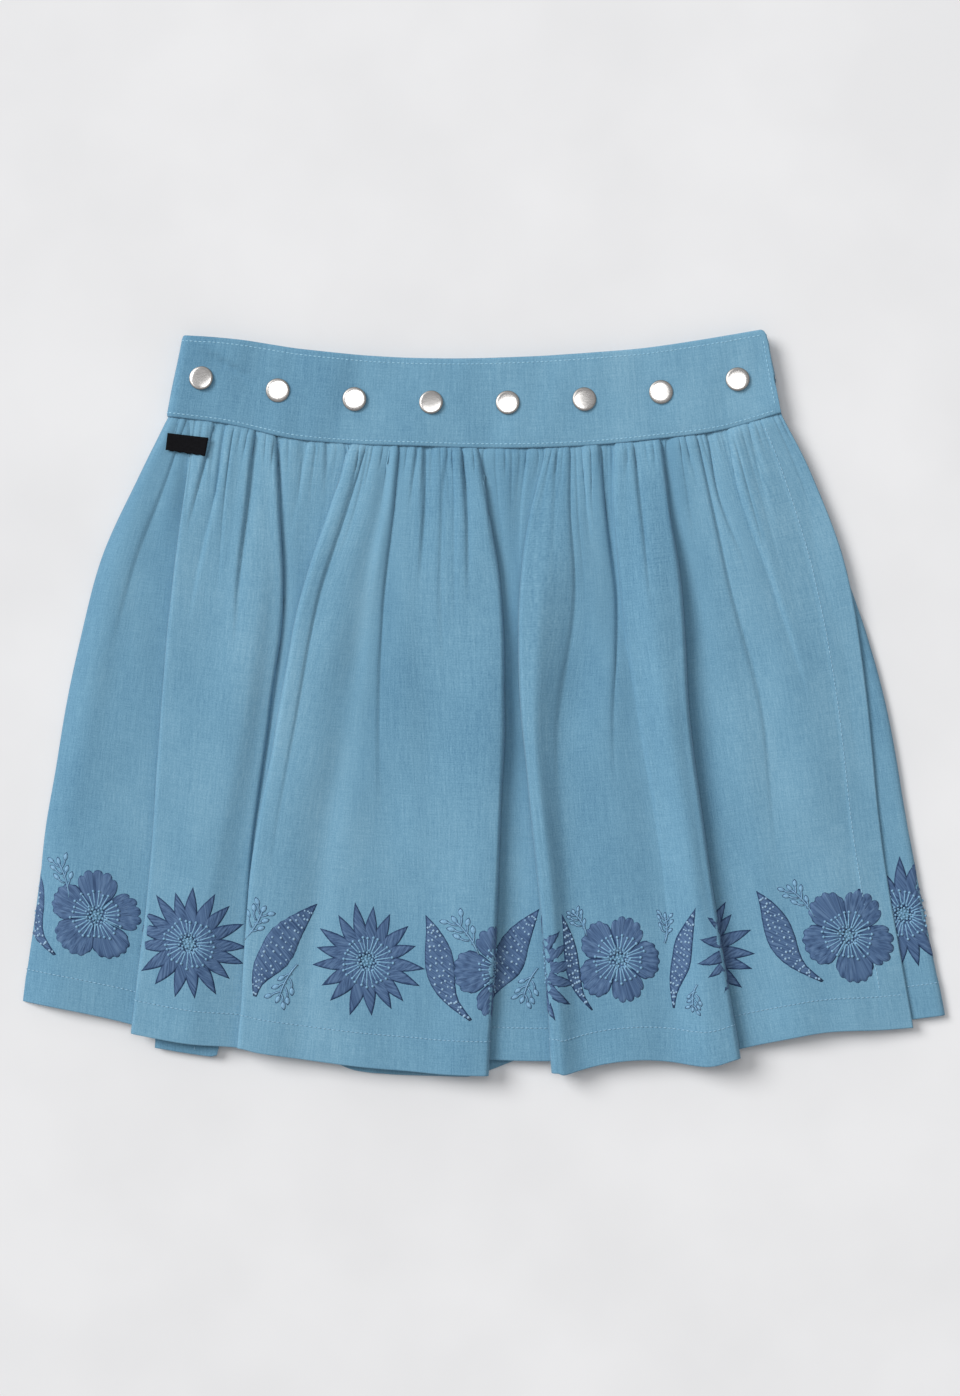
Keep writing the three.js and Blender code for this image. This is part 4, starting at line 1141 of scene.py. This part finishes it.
# %% Tables of the border
# what, place across the cloth, height over the hem, turn of a sprig or side of a leaf, slimness
FRONT_BORDER = (
    ("leaf", 27.5, 66, -1, 0.9), ("sprig", 43, 85, -0.4, 0.9), ("flower", 65.5, 65, 0.3, 1),
    ("daisy", 160, 64, 0.1, 1), ("flower", 232, 62, 0.2, 1), ("sprig", 275, 81, 0.45, 0.9),
    ("leaf", 294, 67, 1, 1), ("sprig", 299, 48, -2.75, 0.95), ("daisy", 347, 67, 0, 1),
    ("leaf", 397.5, 66, -1, 0.9), ("sprig", 409, 86, -0.6, 0.95), ("flower", 432.5, 66, 0.7, 1),
    ("leaf", 478, 66, 1, 1), ("sprig", 488, 50, -2.7, 0.85), ("daisy", 543.5, 66, 0.05, 1),
    ("leaf", 577, 67, -1, 0.45), ("sprig", 582, 91, -0.4, 0.65), ("flower", 604, 66, 1.2, 0.86),
    ("leaf", 645, 66, 1, 0.58), ("sprig", 634, 84, 0.1, 0.65), ("sprig", 650, 43, -2.9, 0.6),
    ("daisy", 689, 66, 0.2, 1), ("leaf", 746, 65, -1, 0.85), ("sprig", 759, 86, -0.5, 0.85),
    ("flower", 783, 62, 0.9, 0.92),
)
REPEAT = (("leaf", 0, 63, -1, 1), ("sprig", 12, 84, -0.4, 1), ("flower", 35.6, 63, 0.5, 1),
          ("leaf", 83, 63, 1, 1), ("sprig", 90, 46, -2.7, 1), ("daisy", 135, 63, 0.1, 1))
REPEAT_LENGTH = 186
print("motifs on the front:", len(FRONT_BORDER))


# %% Stitch the border on the three sheets
def border(work, motifs, seed):
    random = np.random.default_rng(seed)
    for kind, u, h, turn, slim in motifs:
        if kind == "daisy":
            daisy(work, u, h, random, turn)
        elif kind == "flower":
            flower(work, u, h, random, turn, slim)
        elif kind == "leaf":
            leaf(work, u, h, random, turn, slim)
        else:
            sprig(work, u, h, random, turn, 27 * slim)


front_work = Embroidery(front, (fabric_end - FLAP_HEM, fabric_end))
border(front_work, FRONT_BORDER, 21)
under_work = Embroidery(under, (0, UNDER_HEM))
daisy(under_work, across_at(under, 263, 68), 68, np.random.default_rng(5))
back_work = Embroidery(back, relief=0.3)
back_motifs = [(kind, 10 + k * REPEAT_LENGTH + u, *rest)
               for k in range(3) for kind, u, *rest in REPEAT]
border(back_work, [m for m in back_motifs if 38 < m[1] < back.across[-1] - 38], 22)

# %% Make meshes of the thread
embroidery = {}
for name, work in (("front", front_work), ("under", under_work), ("back", back_work)):
    satin, light = work.satin.link("satin_" + name), work.light.link("light_thread_" + name)
    pale = None if name == "under" else work.pale.link("pale_knots_" + name)
    for piece in (satin, light):
        shell = piece.modifiers.new("thread_thickness", "SOLIDIFY")
        shell.thickness = 0.15 * MM
    embroidery[name] = (satin, light) if pale is None else (satin, light, pale)
    print(name, "satin faces", len(satin.data.polygons), "light faces", len(light.data.polygons))

# %% [markdown]
# ## Press studs
#
# The caps are pressed from steel sheet: a nearly flat polished disc with a rolled rim. Turning a
# profile round its axis is how such a part is made, and bmesh spin does the same. The shank and the
# socket under the band belong to the cap, so they are in the same profile. No two caps sit quite
# level on soft cloth, and each leans a degree or two.

# %% Profile of a cap
CAP_RADIUS, SHANK_RADIUS, SOCKET_RADIUS, SOCKET_HEIGHT = 7.5, 2.2, 5.5, 2.1
CAVITY_RADIUS, CAVITY_DEPTH, CAP_LIFT = 2.4, 1.5, 0.15
cap_z = BAND_FRONT_Z + BAND_THICKNESS / 2 + CAP_LIFT
socket_top = BAND_FRONT_Z - BAND_THICKNESS / 2 - SEAM_GAP
socket_bottom = socket_top - SOCKET_HEIGHT
CAP_TOP = (  # radius and height over the cap's underside, from the shank to the middle of the top
    (SHANK_RADIUS, 0), (6.7, 0), (7.2, 0.12), (CAP_RADIUS, 0.45), (7.42, 0.8), (7.15, 1.05),
    (6.7, 1.22), (6.1, 1.34), (4.9, 1.42), (3.2, 1.48), (1.5, 1.5), (0, 1.5),
)
RIM_FROM = 6.4  # the radius where the polished top gives way to the rolled rim
CAP_PROFILE = [
    (0, socket_bottom + CAVITY_DEPTH), (CAVITY_RADIUS, socket_bottom + CAVITY_DEPTH),
    (CAVITY_RADIUS, socket_bottom), (SOCKET_RADIUS, socket_bottom), (SOCKET_RADIUS, socket_top),
    (SHANK_RADIUS, socket_top), *((radius, cap_z + height) for radius, height in CAP_TOP),
]
print("cap:", round(CAP_PROFILE[-1][1] - CAP_PROFILE[2][1], 1), "mm tall with its socket")

# %% Spin the caps
CAP_LEANS = (  # degrees about X and Y
    (-6.5, -4.5), (0.5, 1), (-0.5, 0.5), (-7.5, -2), (-5, -1), (-4.5, 4.5), (-1, 0.5), (-4.5, -3),
)
caps = []
for i, ((x, y), (lean_x, lean_y)) in enumerate(zip(snaps, CAP_LEANS)):
    bm = bmesh.new()
    ring = [bm.verts.new((radius * MM, 0, z * MM)) for radius, z in CAP_PROFILE]
    edges = [bm.edges.new(pair) for pair in zip(ring, ring[1:])]
    bmesh.ops.spin(bm, geom=ring + edges, axis=(0, 0, 1), cent=(0, 0, 0), angle=2 * math.pi,
                   steps=40, use_merge=True)
    bmesh.ops.remove_doubles(bm, verts=bm.verts, dist=0.00001)
    bmesh.ops.recalc_face_normals(bm, faces=bm.faces)
    rim_layer = bm.verts.layers.float.new("rim")
    for vert in bm.verts:
        vert[rim_layer] = float(vert.co.xy.length > RIM_FROM * MM)
    top = [vert for vert in bm.verts if vert.co.z > (cap_z - 0.01) * MM]
    lean = Matrix.Rotation(math.radians(lean_x), 3, "X")
    lean @= Matrix.Rotation(math.radians(lean_y), 3, "Y")
    bmesh.ops.rotate(bm, verts=top, cent=(0, 0, cap_z * MM), matrix=lean)
    bmesh.ops.translate(bm, verts=bm.verts, vec=(x * MM, y * MM, 0))
    caps.append(link_mesh(f"press_stud_cap_{i + 1}", bm))
    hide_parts(f"snap_cap_{i + 1}")
print("caps:", len(caps))

# %% [markdown]
# ## Label
#
# A small black woven label is sewn on under the left end of the band. It stays bare. It is a grid
# with a little curl at its lower edge, and it bridges the gathers that it lies on.

# %% Lay the label on the gathers
LABEL_CORNERS = ((-197.2, 169.2), (-171.6, 166.1), (-173.6, 154.8), (-198.4, 158.5))
LABEL_COLUMNS, LABEL_ROWS, LABEL_LIFT = 22, 12, 1.1
mesh_bm = bmesh.new()
mesh_bm.from_mesh(front_panel.data)
front_tree = BVHTree.FromBMesh(mesh_bm)
mesh_bm.free()


def height_at(x, y):
    """Height of the front flap, before its thickness."""
    hit = front_tree.ray_cast(Vector((x * MM, y * MM, 0.05)), Vector((0, 0, -1)))[0]
    return hit.z / MM


# %% Shape the label
def on_label(s, t):
    """x and y at shares of the label's width and height, from its upper left corner."""
    corner_a, corner_b, corner_c, corner_d = (np.array(corner) for corner in LABEL_CORNERS)
    return mix(mix(corner_a, corner_b, s), mix(corner_d, corner_c, s), t)


label_bm = bmesh.new()
label_bm.loops.layers.uv.new("fabric")
bmesh.ops.create_grid(label_bm, x_segments=LABEL_COLUMNS, y_segments=LABEL_ROWS, size=1)
samples = np.array([(1, s, t, s * s, height_at(*on_label(s, t)))
                    for s in np.linspace(0, 1, 8) for t in np.linspace(0, 1, 5)])
tilt = np.linalg.lstsq(samples[:, :4], samples[:, 4], rcond=None)[0]
tilt[0] += 0.6 * float((samples[:, 4] - samples[:, :4] @ tilt).max())
for vert in label_bm.verts:
    s, t = (vert.co.x + 1) / 2, (1 - vert.co.y) / 2
    x, y = on_label(s, t)
    curl = 0.5 * t**3 + 0.12 * math.sin(9 * s) * t
    z = float(np.dot(tilt, (1, s, t, s * s))) + LABEL_LIFT + curl
    y += 0.25 * math.sin(31 * s) * t**6  # its cut edge is a little fuzzy
    vert.co = Vector((x, y, z)) * MM
label_uv = label_bm.loops.layers.uv["fabric"]
for face in label_bm.faces:
    for loop in face.loops:
        loop[label_uv].uv = loop.vert.co.xy
label = link_mesh("woven_label", label_bm)
label_shell = label.modifiers.new("label_thickness", "SOLIDIFY")
label_shell.thickness = 0.6 * MM
label_shell.offset = 0
print("label height:", round(float(tilt[0]), 2))

# %% [markdown]
# ## Denim
#
# Denim has pale and dark threads side by side, so its colour lives in long slubs along the warp,
# with a finer grain across. Noise that is stretched along the UV map's vertical gives the slubs.
# A second, crossed noise gives the weft, and a slow one the washed patches. The same
# noises drive a little bump, so that close by the cloth is not smooth either.

# %% A helper for materials
class Finish:
    """A material with its shader, and a short way to add nodes to it."""

    def __init__(self, name, **sockets):
        self.material = bpy.data.materials.new(name)
        self.material.use_nodes = True
        self.tree = self.material.node_tree
        self.shader = self.tree.nodes["Principled BSDF"]
        for socket, value in sockets.items():
            self.shader.inputs[socket.replace("_", " ")].default_value = value

    def add(self, kind, inputs, output=0, **settings):
        node = self.tree.nodes.new("ShaderNode" + kind)
        for key, value in settings.items():
            setattr(node, key, value)
        for name, value in inputs.items():
            if isinstance(value, bpy.types.NodeSocket):
                self.tree.links.new(value, node.inputs[name])
            else:
                node.inputs[name].default_value = value
        return node.outputs[output]

    def noise(self, vector, scale, detail=2.0):
        """Noise on stretched coordinates: scale gives its grains a metre on each axis."""
        stretched = self.add("Mapping", {"Vector": vector, "Scale": scale})
        return self.add("TexNoise", {"Vector": stretched, "Scale": 1.0, "Detail": detail})

    def total(self, start, *terms):
        """start plus each socket times its weight."""
        value = start
        for socket, weight in terms:
            value = self.add("Math", {0: socket, 1: weight, 2: value}, operation="MULTIPLY_ADD")
        return value

    def ramp(self, factor, *stops):
        node = self.tree.nodes.new("ShaderNodeValToRGB")
        self.tree.links.new(factor, node.inputs[0])
        while len(node.color_ramp.elements) < len(stops):
            node.color_ramp.elements.new(0.5)
        for element, (place, colour) in zip(node.color_ramp.elements, stops):
            element.position, element.color = place, (*colour, 1)
        return node.outputs[0]

    def bump(self, height, strength, distance):
        inputs = {"Height": height, "Strength": strength, "Distance": distance * MM}
        self.join(self.add("Bump", inputs), "Normal")

    def join(self, socket, name):
        self.tree.links.new(socket, self.shader.inputs[name])


def dress(material, *pieces):
    for piece in pieces:
        piece.data.materials.clear()
        piece.data.materials.append(material)


# %% Denim of the panels and of the band
def linear(red, green, blue):
    """Shader colour of a display colour from 0 to 255."""
    return tuple(((c / 255 + 0.055) / 1.055) ** 2.4 for c in (red, green, blue))


CUT_WIDTH = 1.2  # metres of cloth that the tables of painted shade cover
# Painted shade: these tables darken the cloth in stretches across the flap and towards the band's
# left end, where the real cloth lies in shade.
PANEL_PAINTED_SHADE = ((0, 0.36), (0.2, 0.56), (0.31, 0.55), (0.36, 0.43), (0.66, 0.42), (0.7, 0.36),
              (0.75, 0.53), (0.82, 0.56))
BAND_PAINTED_SHADE = ((0.72, 0.34), (1.07, 0.55))
DENIM_TONES = ((0.05, (80, 126, 156)), (0.5, (112, 158, 184)), (0.95, (142, 184, 206)))


def denim(name, painted_shade, gain=1.0):
    """The table of painted shade: places across the cloth in metres, and how pale the cloth is
    painted there; the darker places are painted shade.
    """
    finish = Finish(name, Roughness=0.9, Specular_IOR_Level=0.25, Sheen_Weight=0.12,
                    Sheen_Roughness=0.5)
    uv = finish.add("UVMap", {}, uv_map="fabric")
    slub = finish.noise(uv, (900, 34, 1), 3)
    fine = finish.noise(uv, (2100, 150, 1), 2)
    weft = finish.noise(uv, (60, 1700, 1), 2)
    fleck = finish.noise(uv, (1300, 1000, 1), 1)
    wash = finish.noise(uv, (26, 11, 1), 2)
    across = finish.total(0.0, (finish.add("SeparateXYZ", {0: uv}, "X"), 1 / CUT_WIDTH))
    # painted shade across the cloth, read from the tables
    painted_shade_tone = finish.ramp(across, *((at / CUT_WIDTH, (grey, grey, grey)) for at, grey in painted_shade))
    tone = finish.total(-1.15, (slub, 0.4), (fine, 0.5), (weft, 0.35), (fleck, 0.55), (wash, 0.5),
                        (painted_shade_tone, 1))
    stops = [(at, tuple(min(c * gain, 1) for c in linear(*colour))) for at, colour in DENIM_TONES]
    finish.join(finish.ramp(tone, *stops), "Base Color")
    finish.bump(finish.total(0.0, (slub, 0.7), (fine, 0.6), (weft, 0.6)), 0.35, 0.35)
    return finish.material


dress(denim("washed_denim_painted_shade", PANEL_PAINTED_SHADE, 0.96), front_panel, under_panel, back_panel)
dress(denim("band_denim", BAND_PAINTED_SHADE, 0.99), waistband)
print("denim on four pieces")

# %% [markdown]
# ## Thread, steel and label
#
# Satin stitch shines along its threads and each bundle has a darker outline. The patches carry the
# direction of their stitches and the distance to their edge as an attribute, so the material can
# draw both. The caps are polished steel with fine brushing, and the label is a tight black weave.

# %% Satin thread
def satin_thread():
    finish = Finish("satin_thread", Roughness=0.6, Specular_IOR_Level=0.2, Sheen_Weight=0.1)
    stitch = finish.add("Attribute", {}, "Vector", attribute_name="stitch")
    threads = finish.noise(stitch, (0.3, 2.4, 0.01), 2)
    bundles = finish.noise(stitch, (0.16, 0.95, 0.01), 2)
    from_edge = finish.add("SeparateXYZ", {0: stitch}, "Z")
    outline = finish.add("MapRange", {0: from_edge, 1: 0.3, 2: 1.5})
    tone = finish.total(-1.4, (threads, 0.8), (bundles, 1.5), (outline, 0.75))
    finish.join(finish.ramp(tone, (0.0, linear(32, 56, 92)), (0.5, linear(72, 100, 137)),
                            (1.0, linear(102, 131, 165))), "Base Color")
    finish.bump(finish.total(0.0, (threads, 0.5), (bundles, 0.8)), 0.8, 0.5)
    return finish.material


def plain_thread(name, dark, pale):
    finish = Finish(name, Roughness=0.6, Sheen_Weight=0.2)
    where = finish.add("TexCoord", {}, "Object")
    strands = finish.noise(where, (900, 900, 900), 2)
    finish.join(finish.ramp(strands, (0.3, linear(*dark)), (0.7, linear(*pale))), "Base Color")
    finish.bump(strands, 0.3, 0.2)
    return finish.material


threads = (satin_thread(), plain_thread("light_thread", (100, 147, 181), (132, 177, 206)),
           plain_thread("pale_thread", (122, 158, 189), (158, 190, 213)))
for pieces in embroidery.values():
    for piece, thread in zip(pieces, threads):
        dress(thread, piece)
dress(plain_thread("seam_thread", (126, 170, 197), (156, 196, 218)), panel_stitches)
dress(plain_thread("band_thread", (136, 186, 213), (168, 213, 233)), band_stitches)
print("thread on", 2 + sum(len(pieces) for pieces in embroidery.values()), "pieces")


# %% Steel and label weave
def polished_steel():
    finish = Finish("polished_steel", Metallic=1.0, Roughness=0.2)
    where = finish.add("TexCoord", {}, "Object")
    brushed = finish.noise(where, (300, 2600, 300), 2)
    rim = finish.add("Attribute", {}, "Fac", attribute_name="rim")
    # the rolled rim is painted darker: painted shade standing in for the dimmer reflection round it
    tone = finish.total(0.0, (brushed, 1), (rim, -0.6))
    finish.join(finish.ramp(tone, (0.0, (0.4, 0.38, 0.36)), (0.35, (0.62, 0.6, 0.58)),
                            (0.7, (0.72, 0.7, 0.68))), "Base Color")
    finish.join(finish.total(0.15, (brushed, 0.06), (rim, 0.3)), "Roughness")
    return finish.material


def label_weave():
    finish = Finish("black_label_weave", Roughness=0.85, Specular_IOR_Level=0.1)
    uv = finish.add("UVMap", {}, uv_map="fabric")
    ribs = finish.noise(uv, (1800, 500, 1), 2)
    cross = finish.noise(uv, (300, 2600, 1), 1)
    tone = finish.total(0.0, (ribs, 0.5), (cross, 0.5))
    finish.join(finish.ramp(tone, (0.3, linear(6, 6, 8)), (0.8, linear(24, 24, 28))), "Base Color")
    finish.bump(tone, 0.6, 0.3)
    return finish.material


studs = [node for name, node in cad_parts.items() if name.startswith("snap_stud")]
dress(polished_steel(), *caps, *studs)
dress(label_weave(), label)
print("steel on", len(caps), "caps and", len(studs), "studs")

# %% The ground
ground = Finish("pale_ground", Roughness=0.95)
ground_place = ground.add("TexCoord", {}, "Object")
mottle = ground.noise(ground_place, (9, 9, 9), 3)
shade = ground.ramp(mottle, (0.35, linear(228, 228, 229)), (0.65, linear(233, 233, 234)))
ground.join(shade, "Base Color")
dress(ground.material, floor)
print("materials:", len(bpy.data.materials))

# %% [markdown]
# ## Tell the frame what is what
#
# Everything rides on the one body of the skirt, because cloth has no joints. Each new piece takes
# the place of its CAD node.

# %% Rides
for piece, node, slot in (
    (front_panel, "front_panel", "denim"), (under_panel, "under_panel", "denim"),
    (back_panel, "back_panel", "denim"), (waistband, "waistband", "band_denim"),
    (label, "label", "label_cloth"),
):
    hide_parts(node)
    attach(piece, "root")
for cap in caps:
    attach(cap, "root")
for piece in (panel_stitches, band_stitches, *sum(embroidery.values(), ())):
    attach(piece, "root")

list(embroidery["front"])
list(embroidery["under"])
list(embroidery["back"])
